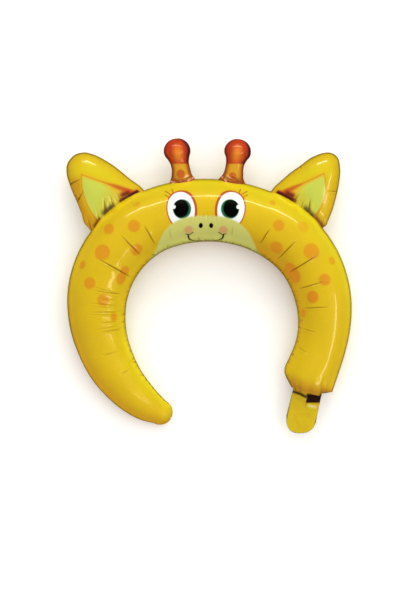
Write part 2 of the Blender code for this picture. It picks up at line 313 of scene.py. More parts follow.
def crease_heights(flat, creases):
    """What the creases add to the smooth film's height, and how deep in a fold each place lies, for its
    painted shade.
    """
    height = np.zeros(flat.shape[:-1])
    fold_depth = np.zeros(flat.shape[:-1])
    for fold in creases:
        along = fold["end"] - fold["start"]
        length = np.hypot(*along)
        along /= length
        reach = FOLD_REACH * fold["width"]
        low = np.minimum(fold["start"], fold["end"]) - reach
        high = np.maximum(fold["start"], fold["end"]) + reach
        near = np.nonzero(np.all((flat > low) & (flat < high), axis=-1))
        away = flat[near] - fold["start"]
        t = away @ along / length
        off = away @ turned(along)
        if fold["from_seam"]:
            share = np.clip(1 - t, 0, 1) ** 0.8
        else:
            share = np.sin(np.pi * np.clip(t, 0, 1)) ** 0.6
        off /= fold["width"]
        valley = np.exp(-off**2)
        ridges = np.exp(-(off - RIDGE_OFF) ** 2) + np.exp(-(off + RIDGE_OFF) ** 2)
        height[near] += fold["depth"] * share * (RIDGE_SHARE * ridges - valley)
        fold_depth[near] += fold["dark"] * fold["depth"] * share * valley**2
    return height, fold_depth


# Long creases seen in the photograph, as pixels from and to, with a depth in millimetres.
SEEN_CREASES = (
    (155.1, 245.5, 143.5, 225.0, 1.1),
    (141.2, 256.5, 120.6, 235.4, 1.1),
    (130.5, 277.0, 97.4, 258.4, 1.2),
    (122.0, 294.0, 94.3, 290.4, 0.7),
    (117.5, 293.0, 90.0, 286.0, 0.45),
    (116.0, 300.0, 98.0, 298.5, 0.45),
    (118.5, 306.0, 89.0, 302.5, 0.5),
    (120.4, 311.8, 89.8, 311.8, 0.6),
    (120.0, 316.2, 87.0, 313.8, 0.4),
    (114.0, 307.5, 96.0, 307.0, 0.35),
    (117.0, 321.0, 99.0, 322.5, 0.5),
    (121.8, 328.2, 101.0, 332.2, 0.6),
    (119.0, 325.5, 95.0, 329.5, 0.4),
    (120.0, 350.0, 102.5, 355.0, 0.4),
    (117.0, 352.7, 100.0, 354.7, 0.3),
    (129.6, 369.0, 120.4, 374.0, 0.6),
    (259.0, 244.0, 269.0, 228.4, 1.1),
    (277.0, 259.5, 295.5, 240.0, 1.1),
    (288.0, 272.6, 318.0, 254.2, 1.2),
    (297.0, 288.8, 324.5, 281.0, 0.9),
    (303.0, 307.8, 328.6, 306.7, 0.8),
    (301.5, 328.0, 315.3, 332.2, 0.6),
    (296.5, 346.5, 307.0, 352.7, 0.6),
    (170.0, 241.0, 169.0, 227.0, 0.6),
    (231.0, 236.0, 232.0, 226.0, 0.6),
    (136.0, 212.0, 131.5, 199.0, 0.4),
    (282.0, 214.0, 287.0, 203.0, 0.4),
    (190.2, 224.0, 190.6, 214.0, 0.35),
    (193.8, 222.0, 194.0, 212.5, 0.3),
    (198.4, 223.0, 198.4, 213.5, 0.35),
    (202.2, 221.5, 202.0, 212.0, 0.3),
    (206.6, 223.5, 206.6, 213.0, 0.35),
    (211.0, 222.5, 211.2, 213.5, 0.3),
    (215.6, 225.0, 215.2, 215.5, 0.3),
    (220.4, 227.0, 220.0, 218.0, 0.3),
)


def drawn_creases(rows, place_of=from_photo, from_seam=False):
    """Creases from a table's rows: pixels from and to, a depth, and the width where it isn't 0.9."""
    return [crease(place_of(*row[:2]), place_of(*row[2:4]), *row[4:], from_seam=from_seam)
            for row in rows]


def seam_creases(lie, side, seed, gap, depth, reach):
    """Small gathers that run from one seam of the band into the film."""
    rng = np.random.default_rng(seed)
    length = lie["run"][-1]
    found = []
    place = rng.uniform(*gap)
    while place < length:
        i = int(np.searchsorted(lie["run"], place))
        outward = lie["outward"][i]
        edge = lie["middle"][i] + outward * (side * lie["film"][i] * math.pi / 2)
        run_in = rng.uniform(*reach) * min(1.0, lie["film"][i] / GATHER_FULL_FILM)
        slant = rng.uniform(-GATHER_SLANT, GATHER_SLANT)
        end = edge + (turned(outward) * slant - outward * side) * run_in
        found.append(crease(edge, end, rng.uniform(*depth), rng.uniform(*GATHER_WIDTHS), from_seam=True))
        place += rng.uniform(*gap)
    return found


# Gathers along the band's seams, in front and behind: side (-1 is the inner one), seed, and ranges
# of the gaps, depths and lengths in millimetres.
FRONT_GATHERS = ((-1, 3, (4.0, 9.0), (0.25, 0.9), (6, 26)), (1, 5, (7.0, 18.0), (0.15, 0.5), (4, 14)))
BACK_GATHERS = ((-1, 4, (4.0, 9.0), (0.3, 1.0), (6, 30)), (1, 6, (7.0, 18.0), (0.15, 0.5), (4, 14)))
GATHER_SLANT = 0.25
GATHER_WIDTHS = (0.8, 1.3)
GATHER_FULL_FILM = 30.0  # the film's half width below which gathers get shorter

# Pleats up from the weld of the filled end: share across the flat film, length, depth and width.
END_PLEATS = (
    (-1.35, 10, 1.2, 2.0), (-1.02, 8, 1.0, 1.8), (-0.67, 13, 2.2, 2.6), (-0.38, 7, 0.8, 1.7),
    (-0.08, 12, 2.1, 2.5), (0.24, 7, 0.8, 1.8), (0.53, 14, 2.3, 2.4), (0.86, 9, 1.1, 1.9),
    (1.22, 10, 1.1, 1.8),
)
PLEAT_FAN = 0.22
# How strongly the pleats are darkened with painted shade.
PLEAT_SHADE = 0.2


def end_pleats(lie, flipped=False):
    """Pleats that run up the tube from the weld across its filled end, fanning out a little."""
    outward, middle, film = lie["outward"][-1], lie["middle"][-1], lie["film"][-1]
    found = []
    for share, length, depth, width in END_PLEATS:
        aside = outward * (-share if flipped else share)
        start = middle + aside * film
        end = start + (turned(outward) + aside * PLEAT_FAN) * length
        found.append(crease(start, end, depth, width, from_seam=True, dark=PLEAT_SHADE))
    return found


# Band

def station_angles():
    """Angles on the ring of the band's stations, evenly spaced until its filled end closes."""
    fine = np.linspace(BAND_SECTIONS[0][0], BAND_SECTIONS[-1][0], FINE_STEPS)
    middles = band_plan(fine)[0]
    closing = fine[np.hypot(*(middles - middles[-1]).T) < END_DEPTH_RUN][0]
    tube = np.linspace(fine[0], closing, FINE_STEPS)
    run = run_along(band_plan(tube)[0])
    even = np.interp(np.linspace(0, run[-1], round(run[-1] / STATION_STEP)), run, tube)
    share = np.sin(np.pi / 2 * np.arange(1, END_STATIONS + 1) / END_STATIONS)
    return np.append(even, closing + (fine[-1] - closing) * share)


def lie_of_band():
    """The band's stations from the toe to the filled end: everything that a section needs."""
    middle, outward, half_width = band_plan(station_angles())
    film, depth = half_width - LIP_WIDTH, band_depth(half_width)
    seam = depth - RESTING_FLAT
    full = depth[-END_STATIONS - 1]
    left = np.hypot(*(middle[-1] - middle[-END_STATIONS:]).T) / END_DEPTH_RUN
    depth[-END_STATIONS:] = full * np.clip(1 - (1 - left) ** END_FULLNESS, 0, 1) ** (1 / END_FULLNESS)
    seam[-END_STATIONS:] = full - RESTING_FLAT

    turn = np.linspace(TOE_LAST_ANGLE, 0, TOE_STATIONS, endpoint=False)
    toe_middle = middle[0] + turned(outward[0]) * (film[0] * np.sin(turn))[:, None]
    tube = np.zeros(len(film))
    closing = np.append(np.cos(turn), tube + 1)
    lie = {key: np.concatenate([np.repeat(values[:1], TOE_STATIONS, axis=0), values]) for key, values in
           {"outward": outward, "full_film": film, "depth": depth, "seam": seam}.items()}
    lie["middle"] = np.concatenate([toe_middle, middle])
    lie["film"] = lie["full_film"] * closing
    lie["depth"] *= closing
    lie["lip"] = LIP_WIDTH * closing
    lie["ahead"] = LIP_WIDTH * np.append(np.sin(turn), tube)
    lie["run"] = run_along(lie["middle"])
    return lie


def layers(*values):
    """Values for each point of a grid, side by side."""
    return np.stack(np.broadcast_arrays(*values), axis=-1)


def mesh_from_grid(name, points, flat_mm, lie_mm, fold_mm):
    """An object from a closed grid of points, rows along it and columns round it, in millimetres."""
    rows, columns = points.shape[:2]
    co = points.reshape(-1, 3) + (*RING_CENTRE_MM, 0)
    index = np.arange(rows * columns).reshape(rows, columns)
    beside = np.roll(index, -1, axis=1)
    quads = np.stack([index[:-1], index[1:], beside[1:], beside[:-1]], axis=-1).reshape(-1, 4)
    ends = [index[0].tolist(), index[-1][::-1].tolist()]
    mesh = bpy.data.meshes.new(name)
    mesh.from_pydata((co / 1000).tolist(), [], quads.tolist() + ends)
    for title, values in (("flat_mm", flat_mm), ("lie_mm", lie_mm)):
        layer = mesh.attributes.new(title, "FLOAT_VECTOR", "POINT")
        layer.data.foreach_set("vector", values.reshape(-1, 3).astype(np.float32).ravel())
    layer = mesh.attributes.new("fold_mm", "FLOAT", "POINT")
    layer.data.foreach_set("value", fold_mm.reshape(-1).astype(np.float32))
    mesh.shade_smooth()
    mesh.validate()
    made = bpy.data.objects.new(name, mesh)
    bpy.context.scene.collection.objects.link(made)
    return made


# How far the weld of the filled end bulges past a straight line: share across, and millimetres.
END_BULGES = (
    (-1.0, 1.5), (-0.91, 3.8), (-0.62, 5.4), (-0.32, 8.7), (-0.13, 7.0), (0.10, 7.6), (0.41, 8.4),
    (0.51, 4.5), (0.95, 2.1), (1.0, 1.8),
)


def end_wave(share):
    """The bulge of the filled end's weld at a share across it, from -1 to 1."""
    places, bulge = zip(*END_BULGES)
    return np.interp(share, places, bulge)


def over_ears(middle):
    """1 at stations where an ear grows out of the band, and 0 away from them."""
    angles = np.degrees(np.arctan2(middle[:, 1], middle[:, 0]))
    middles, halves = np.array(EAR_ROOT_ANGLES).mean(axis=1), np.diff(EAR_ROOT_ANGLES)[:, 0] / 2
    return sum(smooth_step(half + EAR_ROOT_SOFT, half - EAR_ROOT_SOFT, np.abs(angles - middle))
               for middle, half in zip(middles, halves))


# Unevenness of the filled film: its spacing along the tube, its seed and its height. The first is
# all round, the second on the inner side, and the last moves the weld up and down.
SWELL = (31, 11, 0.25)
INNER_SWELL = (9, 12, 0.18)
WELD_WOBBLE = (6.5, 14, 0.5)
CALM_FILM = 14.0  # the film's half width below which folds and swells fade
CALM_RISE = 0.10  # the share of the height, next to a weld, over which they fade too
END_WAVE_RUN = 17.0


def band_columns():
    """The columns round the band: their turn, and whether they are on the lip and at the back."""
    front = np.linspace(0, np.pi, FRONT_CELLS + 1)
    back = np.linspace(np.pi, 2 * np.pi, BACK_CELLS + 1)
    turn = np.concatenate([[0], front, [np.pi], [np.pi], back, [2 * np.pi]])
    on_lip = np.zeros(len(turn), bool)
    on_lip[[0, FRONT_CELLS + 2, FRONT_CELLS + 3, -1]] = True
    return turn, on_lip, np.arange(len(turn)) > FRONT_CELLS + 2


def band_folds(lie, flat, is_back):
    """Heights, and fold depths for the painted shade in folds, that the creases, pleats and gathers give
    the flat film.
    """
    front = drawn_creases(SEEN_CREASES, on_flat_sheet) + end_pleats(lie)
    behind = end_pleats(lie, flipped=True)
    for folds, gathers in ((front, FRONT_GATHERS), (behind, BACK_GATHERS)):
        for gather in gathers:
            folds += seam_creases(lie, *gather)
    height, fold_mm = np.zeros((2,) + flat.shape[:2])
    for columns, folds in ((~is_back, front), (is_back, behind)):
        height[:, columns], fold_mm[:, columns] = crease_heights(flat[:, columns], folds)
    return height, fold_mm


def make_band():
    """The tube: a front and a back film, and the thin lip where they are welded."""
    lie = lie_of_band()
    turn, on_lip, is_back = band_columns()
    middle, outward, film, depth, lip, full_film = (
        lie[key][:, None] for key in ("middle", "outward", "film", "depth", "lip", "full_film"))
    across, rise_share = np.cos(turn), np.abs(np.sin(turn))
    folded = np.where(is_back, 2 * np.pi - turn, turn)
    lip_off = np.where(on_lip, np.sign(across) * lip, 0)
    flat_off = film * (np.pi / 2 - folded) + lip_off
    flat = middle + outward * flat_off[..., None]

    def uneven(spacing, seed, size):
        return smooth_noise(lie["run"], spacing, seed)[:, None] * size

    height, fold_mm = band_folds(lie, flat, is_back)
    swell = uneven(*SWELL) * np.sin(folded) + uneven(*INNER_SWELL) * np.clip(-across, 0, 1)
    calm = np.clip(film / CALM_FILM, 0, 1) * smooth_step(0.0, CALM_RISE, rise_share)
    height = np.where(on_lip, 0, (height + swell) * calm)

    slope_out, slope_up = across / film, rise_share / np.maximum(depth, 1.0)
    steep = np.hypot(slope_out, slope_up) + 1e-9
    over_ear = over_ears(lie["middle"])[:, None] * np.clip(across, 0, 1) ** 2
    plan_off = film * across + lip_off + height * slope_out / steep
    plan_off = plan_off + np.where(is_back | on_lip, 0, EAR_OVERHANG * over_ear)
    rise = np.maximum(depth * rise_share, LIP_HALF_THICKNESS) + height * slope_up / steep

    from_end = (lie["run"][-1] - lie["run"])[:, None]
    forward = np.where(on_lip, lie["ahead"][:, None], 0)
    forward = forward - end_wave(np.clip(plan_off / film, -1, 1)) * smooth_step(END_WAVE_RUN, 0, from_end)
    points = np.empty(flat.shape[:2] + (3,))
    points[..., :2] = middle + outward * plan_off[..., None] + turned(outward) * forward[..., None]
    height = lie["seam"][:, None] + np.where(is_back, -rise, rise) + uneven(*WELD_WOBBLE) * across**8
    points[..., 2] = np.maximum(height, 0)

    flat_mm = layers(flat[..., 0], flat[..., 1], is_back)
    lie_mm = layers(from_end, flat_off / (full_film * np.pi / 2), on_lip)
    return mesh_from_grid("band_film", points, flat_mm, lie_mm, fold_mm)


# Ears

def closed_curve(points, steps):
    """Places evenly spaced along a closed smooth curve through the given points."""
    points = np.array(points, float)
    a, b, c, d = (np.roll(points, shift, axis=0)[:, None] for shift in (1, 0, -1, -2))
    t = np.linspace(0, 1, CURVE_STEPS, endpoint=False)[None, :, None]
    curve = 0.5 * (2 * b + (c - a) * t + (2 * a - 5 * b + 4 * c - d) * t**2
                   + (3 * b - a - 3 * c + d) * t**3)
    curve = curve.reshape(-1, 2)
    closed = np.vstack([curve, curve[:1]])
    run = run_along(closed)
    want = np.linspace(0, run[-1], steps, endpoint=False)
    return np.stack([np.interp(want, run, closed[:, k]) for k in (0, 1)], axis=-1)


def moved_in(outline, by):
    """A closed outline moved towards its inside."""
    along = np.roll(outline, -1, axis=0) - np.roll(outline, 1, axis=0)
    along /= np.hypot(*along.T)[:, None]
    return outline + turned(along) * by


# Folds of the ears, in pixels from and to, with a depth and a width in millimetres.
EAR_CREASES = {
    "left_ear": (
        (69.5, 184.2, 83.0, 178.0, 1.5, 0.8), (78.0, 199.6, 83.8, 190.0, 1.6, 0.8),
        (72.6, 193.4, 80.0, 200.4, 1.1, 0.8), (105.0, 211.5, 104.0, 197.0, 1.5, 1.6),
        (113.0, 205.0, 109.0, 195.0, 0.8, 1.4), (121.0, 200.0, 114.0, 191.0, 0.9, 1.5),
        (98.5, 218.0, 95.5, 206.0, 0.7, 1.2), (90.0, 226.0, 85.5, 213.0, 0.8, 1.2),
    ),
    "right_ear": (
        (336.0, 191.0, 325.5, 191.4, 1.0, 0.8), (299.0, 165.4, 301.5, 169.0, 1.0, 0.8),
        (279.5, 181.4, 281.8, 184.0, 0.7, 0.8), (308.4, 210.5, 309.6, 197.0, 1.5, 1.6),
        (293.0, 201.5, 299.5, 191.5, 1.1, 1.5), (301.0, 206.0, 304.0, 197.0, 0.7, 1.3),
        (315.0, 219.0, 318.5, 208.0, 0.7, 1.2), (321.0, 225.0, 326.0, 213.0, 0.7, 1.2),
    ),
}


def past_band(plan):
    """How far places of the plan are outside the band's outer weld, in millimetres."""
    angles = np.degrees(np.arctan2(plan[..., 1], plan[..., 0]))
    middle, width, _ = smooth_columns(BAND_SECTIONS, np.clip(angles, 0, 240))
    return np.hypot(plan[..., 0], plan[..., 1]) - RING_RADIUS * middle - BAND_HALF_WIDTH * width


def ear_gathers(edge, centre, seed):
    """Small gathers that run in from the weld of an ear, where it is free of the band."""
    rng = np.random.default_rng(seed)
    found = []
    for i in range(0, EAR_AROUND, EAR_GATHER_STEP):
        start = edge[(i + rng.integers(0, EAR_GATHER_STRAY)) % EAR_AROUND]
        inward = (centre - start) / np.hypot(*(centre - start))
        length, depth, width = rng.uniform(*EAR_GATHER_SIZES)
        if past_band(start) > EAR_GATHER_CLEAR:
            found.append(crease(start, start + inward * length, depth, width, from_seam=True))
    return found


def ear_outline(name):
    """The weld of an ear, counterclockwise, with two corners sunk in the band."""
    corners = [from_photo(*pixel) for pixel in EAR_OUTLINES[name] + EAR_SUNK_CORNERS[name]]
    outline = closed_curve(corners, EAR_AROUND)
    x, y = outline.T
    clockwise = np.sum(x * np.roll(y, -1) - np.roll(x, -1) * y) < 0
    return outline[::-1] if clockwise else outline


def make_ear(name):
    """An ear: a pillow of film drawn out to the seen outline, with its root inside the band."""
    outline = ear_outline(name)
    edge = moved_in(outline, LIP_WIDTH)
    centre = edge.mean(axis=0)
    seam = seam_height(EAR_ANGLE[name])

    def dome(reaches, up, folds):
        spot = centre + (edge - centre) * reaches[:, None, None]
        near = np.clip(past_band(spot) / EAR_ROOT_RUN, 0.0, 1.0)
        closing = EAR_ROOT_SHARE + (1 - EAR_ROOT_SHARE) * near
        rise = EAR_HALF_DEPTH * np.sqrt(np.clip(1 - reaches**2, 0, 1))[:, None] * closing
        rise = np.maximum(rise, LIP_HALF_THICKNESS)
        added, in_fold = crease_heights(spot, folds)
        tall = rise + added * np.clip(rise / EAR_FOLD_RISE, 0, 1)
        return layers(spot[..., 0], spot[..., 1], seam + up * tall, in_fold)

    def lip(up):
        return layers(outline[None, :, 0], outline[None, :, 1], seam + up * LIP_HALF_THICKNESS, 0.0)

    gathers = ear_gathers(edge, centre, EAR_SEED[name])
    folds = drawn_creases(EAR_CREASES[name], from_seam=True) + gathers
    front = np.sin(np.linspace(EAR_FIRST_RING, np.pi / 2, EAR_RINGS))
    back = np.sin(np.linspace(np.pi / 2, EAR_FIRST_RING, EAR_BACK_RINGS))
    made = np.concatenate([dome(front, 1, folds), lip(1), lip(-1), dome(back, -1, gathers)])
    points, fold_mm = made[..., :3], made[..., 3]
    is_back = np.repeat([0.0, 1.0], [EAR_RINGS + 1, EAR_BACK_RINGS + 1])[:, None]
    reach = np.concatenate([front, [EAR_LIP_REACH, EAR_LIP_REACH], back])[:, None]
    flat_mm = layers(points[..., 0], points[..., 1], is_back)
    lie_mm = layers(fold_mm * 0, reach, 0)
    return mesh_from_grid(name + "_film", points, flat_mm, lie_mm, fold_mm)


# Horns

def horn_radius(heights, neck_at, knob_at, total):
    """Half widths of a horn at heights: wide at the foot, slim at the neck, and round at the knob."""
    rows = [(base + height, width) for base, part in zip((0, neck_at, knob_at), HORN_WIDTHS)
            for height, width in part]
    kernel = np.hanning(2 * HORN_SMOOTHING + 1)
    kernel /= kernel.sum()
    radius = np.pad(np.interp(heights, *zip(*rows)), HORN_SMOOTHING, mode="edge")
    radius = np.convolve(radius, kernel, mode="valid")
    over_knob = (heights - knob_at) / (total - knob_at)
    knob = KNOB_RADIUS * np.sqrt(np.clip(1 - over_knob**2, 0, 1))
    return np.where(heights > knob_at, knob, radius)


def horn_ripple(name, heights, around):
    """Gathers round the foot of a horn, and a faint wave above them."""
    rng = np.random.default_rng(HORN_SEED[name])
    gather = np.zeros_like(around)
    for waves in HORN_GATHER_WAVES:
        gather += np.sin(waves * around + rng.uniform(0, 6.3)) * rng.uniform(0.5, 1)
    near_foot = np.exp(-((heights - HORN_GATHER_HEIGHT) / HORN_GATHER_RUN) ** 2)[:, None]
    at_sides = 0.15 + 0.85 * np.cos(around) ** 2
    wave = np.sin(3 * around + heights[:, None] * 0.35)
    return gather * near_foot * HORN_RIPPLE * at_sides + HORN_WAVE * wave * (1 - near_foot)


def make_horn(name):
    """A horn: rings round a bent middle line, gathered where it grows out of the band."""
    foot, neck, knob = (from_photo(*HORNS[name][key]) for key in ("foot", "neck", "knob"))
    up = (knob - foot) / np.hypot(*(knob - foot))
    aside = -turned(up)
    start = foot - up * HORN_SUNK
    total = np.hypot(*(knob + up * KNOB_TOP - start))
    neck_at, knob_at = np.dot(neck - start, up), np.dot(knob - start, up)
    over_knob = np.sin(np.linspace(0, np.pi / 2 - 0.02, KNOB_RINGS))
    heights = np.concatenate([np.linspace(0, knob_at, HORN_RINGS, endpoint=False),
                              knob_at + (total - knob_at) * over_knob])
    radius = horn_radius(heights, neck_at, knob_at, total)
    sway = np.dot(neck - start, aside) * np.exp(-((heights - neck_at) / HORN_BEND_RUN) ** 2)

    around = np.linspace(0, 2 * np.pi, HORN_AROUND, endpoint=False)
    ripple = horn_ripple(name, heights, around)
    ridge = HORN_SEAM_RIDGE * np.exp(-(np.sin(around) / HORN_RIDGE_WIDTH) ** 2)
    ring = radius[:, None] + ripple * np.clip(radius / HORN_GATHER_FADE, 0, 1)[:, None]
    ring = ring + ridge * np.clip(radius / HORN_RIDGE_FADE, 0, 1)[:, None]
    slim = radius[heights < neck_at].min()
    lowered = np.where(heights < neck_at, HORN_FOOT_KEPT + (1 - HORN_FOOT_KEPT) * slim / radius, 1.0)

    middle = start + up * heights[:, None] + aside * sway[:, None]
    points = np.empty(ring.shape + (3,))
    points[..., :2] = middle[:, None] + aside * (ring * np.cos(around))[..., None]
    seam = seam_height(HORN_ANGLE[name])
    points[..., 2] = seam + ring * lowered[:, None] * np.sin(around) * HORN_FLATNESS
    added, fold_mm = crease_heights(points[..., :2], drawn_creases(HORN_CREASES[name]))
    facing = np.clip(np.sin(around), 0, 1)
    points[..., 2] += added * facing
    # Painted shade falls in the folds and in the valleys of the gathers.
    fold_mm = np.maximum(fold_mm * facing, np.clip(-ripple, 0, 1))
    lie_mm = layers(ring * 0, np.cos(around), 0)
    flat_mm = points * (1, 1, 0)
    grids = (grid[:, ::-1] for grid in (points, flat_mm, lie_mm, fold_mm))
    return mesh_from_grid(name + "_film", *grids)


# Tail

# The tail's corners in pixels, where its round tip starts, and the lowest point of the tip.
TAIL_CORNERS = {"left": (294.0, 384.0), "right": (323.6, 384.0), "tip_left": (286.0, 415.5),
                "tip_right": (316.6, 415.5)}
TAIL_TIP = (299.8, 433.0)
TIP_ROUNDNESS = 2.5  # 2 would make the tip an ellipse; more makes it squarer
TAIL_SEAM_ANGLE = -29.5
TAIL_ROWS = 110
TAIL_COLUMNS = 64
# The mouth of the filling channel: the share across at which it starts, the row of the photograph
# at which it ends, and in millimetres how far below that its film folds over, the mouth's depth,
# and the fold's height and run.
MOUTH_FROM = 0.53
MOUTH_BOTTOM = 402.4
MOUTH_FOLD = 3.4
MOUTH_DEPTH = 1.2
MOUTH_FOLD_HEIGHT = 1.05
MOUTH_FOLD_RUN = 1.5
# The tail's length, half its thickness at its edges, the swell of its films, and its waves.
TAIL_LENGTH = 40.0
TAIL_HALF_THICKNESS = 0.25
TAIL_SWELL = 0.45
TAIL_WAVE = 0.8
TAIL_RIPPLE = 0.15


def make_tail():
    """The filling tail: two films welded along their edges, and the open mouth of their channel."""
    left, right, tip_left, tip_right = (from_photo(*p) for p in TAIL_CORNERS.values())
    t = np.linspace(0, 1, TAIL_ROWS)[:, None]
    share = np.linspace(0, 1, TAIL_COLUMNS)[None]
    side_a = left + (tip_left - left) * t
    side_b = right + (tip_right - right) * t
    plan = side_a[:, None] * (1 - share[..., None]) + side_b[:, None] * share[..., None]
    down = from_photo(*TAIL_TIP) - (tip_left + tip_right) / 2
    round_tip = (1 - np.abs(2 * share - 1) ** TIP_ROUNDNESS) ** (1 / TIP_ROUNDNESS)
    plan = plan + down * (round_tip * smooth_step(0.2, 1.0, t))[..., None]

    wide = np.hypot(*(tip_right - tip_left))
    edge = np.minimum(np.minimum(share, 1 - share) * wide, (1 - t) * TAIL_LENGTH + 0.01)
    swell = TAIL_SWELL * smooth_step(1.2, 7.0, edge)
    wave = TAIL_WAVE * np.sin(t * 4.2 + share * 1.6) * t + TAIL_RIPPLE * np.sin(t * 17 + share * 8)
    past_mouth = photo_row(MOUTH_BOTTOM) - plan[..., 1]
    beside = smooth_step(MOUTH_FROM - 0.03, MOUTH_FROM, share)
    mouth = beside * smooth_step(0.4, -0.4, past_mouth)
    fold = np.exp(-((past_mouth - MOUTH_FOLD) / MOUTH_FOLD_RUN) ** 2) * beside * smooth_step(0, 5, edge)
    level = seam_height(TAIL_SEAM_ANGLE) + wave
    over = level + TAIL_HALF_THICKNESS + swell - (MOUTH_DEPTH + swell) * mouth + MOUTH_FOLD_HEIGHT * fold
    under = np.minimum(level - TAIL_HALF_THICKNESS - 0.7 * swell - MOUTH_DEPTH * mouth, over - 0.3)

    def both(front, behind):
        return np.concatenate([front, behind[:, ::-1]], axis=1)

    x, y = plan[..., 0], plan[..., 1]
    points = both(layers(x, y, over), layers(x, y, under))
    lie_mm = both(layers(t, edge, mouth), layers(t, edge, 0))
    return mesh_from_grid("filling_tail_film", points, points * (1, 1, 0), lie_mm, points[..., 0] * 0)


# Shader helper

class Tree:
    """Builds a material's nodes, with sockets or plain numbers as inputs."""

    def __init__(self, name):
        self.material = bpy.data.materials.new(name)
        self.material.use_nodes = True
        self.nodes = self.material.node_tree.nodes
        self.links = self.material.node_tree.links
        self.shader = self.nodes["Principled BSDF"]

    def put(self, socket, value):
        if isinstance(value, bpy.types.NodeSocket):
            self.links.new(value, socket)
        elif value is not None:
            socket.default_value = value

    def calc(self, operation, a, b=None, c=None):
        node = self.nodes.new("ShaderNodeMath")
        node.operation = operation
        for socket, value in zip(node.inputs, (a, b, c)):
            self.put(socket, value)
        return node.outputs[0]

    def vector(self, operation, a, b=None, scale=None):
        node = self.nodes.new("ShaderNodeVectorMath")
        node.operation = operation
        self.put(node.inputs[0], a)
        self.put(node.inputs[1], b)
        if scale is not None:
            self.put(node.inputs["Scale"], scale)
        return node.outputs["Value" if operation in ("DISTANCE", "LENGTH", "DOT_PRODUCT") else 0]

    def steps(self, value, low, high, start=0.0, end=1.0):
        node = self.nodes.new("ShaderNodeMapRange")
        node.interpolation_type = "SMOOTHSTEP"
        for key, number in zip(("Value", "From Min", "From Max", "To Min", "To Max"),
                               (value, low, high, start, end)):
            self.put(node.inputs[key], number)
        return node.outputs[0]

    def mix(self, below, above, share, blend="MIX"):
        node = self.nodes.new("ShaderNodeMix")
        node.data_type = "RGBA"
        node.blend_type = blend
        self.put(node.inputs[0], share)
        self.put(node.inputs[6], below)
        self.put(node.inputs[7], above)
        return node.outputs[2]

    def attribute(self, name, output="Vector"):
        node = self.nodes.new("ShaderNodeAttribute")
        node.attribute_name = name
        return node.outputs[output]

    def parts(self, value):
        node = self.nodes.new("ShaderNodeSeparateXYZ")
        self.put(node.inputs[0], value)
        return node.outputs

    def join(self, x, y, z=0.0):
        node = self.nodes.new("ShaderNodeCombineXYZ")
        for socket, value in zip(node.inputs, (x, y, z)):
            self.put(socket, value)
        return node.outputs[0]

    def noise(self, vector, scale, detail=2.0, roughness=0.5):
        node = self.nodes.new("ShaderNodeTexNoise")
        self.put(node.inputs["Vector"], vector)
        node.inputs["Scale"].default_value = scale
        node.inputs["Detail"].default_value = detail
        node.inputs["Roughness"].default_value = roughness
        return node.outputs["Fac"]

    def times(self, a, b):
        return self.calc("MULTIPLY", a, b)

    def minus(self, a, b):
        return self.calc("SUBTRACT", a, b)

    def away(self, place, start):
        return self.vector("SUBTRACT", place, (*start, 0))

    def dot(self, place, x, y):
        return self.vector("DOT_PRODUCT", place, (x, y, 0))

    def circle(self, place, centre, radius):
        """Distance outside a circle."""
        return self.minus(self.vector("DISTANCE", place, (*centre, 0)), radius)

    def ellipse(self, place, centre, across, tall, tilt=0.0):
        """Distance outside an ellipse, nearly, with its tall axis tilted by degrees towards +x."""
        away = self.away(place, centre)
        sine, cosine = math.sin(math.radians(tilt)), math.cos(math.radians(tilt))
        wide = self.dot(away, cosine / across, -sine / across)
        high = self.dot(away, sine / tall, cosine / tall)
        reach = self.vector("LENGTH", self.join(wide, high))
        return self.times(self.minus(reach, 1.0), min(across, tall))

    def stroke(self, place, start, end, radius):
        """Distance outside a straight stroke with round ends."""
        nearest = self.vector("SCALE", (end[0] - start[0], end[1] - start[1], 0),
                              scale=self.along(place, start, end))
        return self.minus(self.vector("DISTANCE", self.away(place, start), nearest), radius)

    def along(self, place, start, end):
        """Share of the way from start to end that a place has come, from 0 to 1."""
        span = (end[0] - start[0], end[1] - start[1])
        square = span[0] ** 2 + span[1] ** 2
        node = self.nodes.new("ShaderNodeClamp")
        self.put(node.inputs[0], self.dot(self.away(place, start), span[0] / square, span[1] / square))
        return node.outputs[0]

    def beside(self, place, start, end, bow=0.0):
        """Distance to the left of a line from start to end that may bow to its left."""
        span = np.array(end) - np.array(start)
        length = float(np.hypot(*span))
        x, y = span / length
        away = self.away(place, start)
        t = self.dot(away, x / length, y / length)
        hump = self.times(self.times(t, self.minus(1.0, t)), 4 * bow)
        return self.minus(self.dot(away, -y, x), hump)

    def nearest(self, distances):
        found = distances[0]
        for other in distances[1:]:
            found = self.calc("MINIMUM", found, other)
        return found

    def shade(self, colour, ink, value, start, end, strength=1.0):
        """Mixes in an ink, from none of it to its strength as a value goes from start to end."""
        return self.mix(colour, ink, self.steps(value, start, end, 0.0, strength))

    def ink(self, colour, ink, distance, soft, strength=1.0):
        """Prints an ink inside a shape, with a soft edge of a width in millimetres."""
        return self.mix(colour, ink, self.steps(distance, -soft, soft, strength, 0.0))


# Film

# Colours in linear light.
LEMON = (0.65, 0.515, 0.003, 1.0)
MIDDLE_YELLOW = (0.64, 0.43, 0.003, 1.0)
GOLD = (0.60, 0.31, 0.003, 1.0)
OLIVE_EDGE = (0.24, 0.15, 0.008, 1.0)
FOLD_SHADE = (0.20, 0.085, 0.003, 1.0)
TAIL_YELLOW = (0.60, 0.44, 0.004, 1.0)
TAIL_HIGHLIGHT = (0.80, 0.66, 0.10, 1.0)
MOUTH_SHADE = (0.030, 0.007, 0.003, 1.0)
SPOT = (0.63, 0.235, 0.004, 1.0)
END_SHADE = (0.52, 0.21, 0.010, 1.0)
MUZZLE = (0.56, 0.55, 0.135, 1.0)
MUZZLE_LOW = (0.53, 0.54, 0.115, 1.0)
EYE_LINE = (0.43, 0.085, 0.005, 1.0)
EYE_WHITE = (0.80, 0.83, 0.83, 1.0)
IRIS = (0.008, 0.13, 0.055, 1.0)
INK = (0.0006, 0.0009, 0.0009, 1.0)
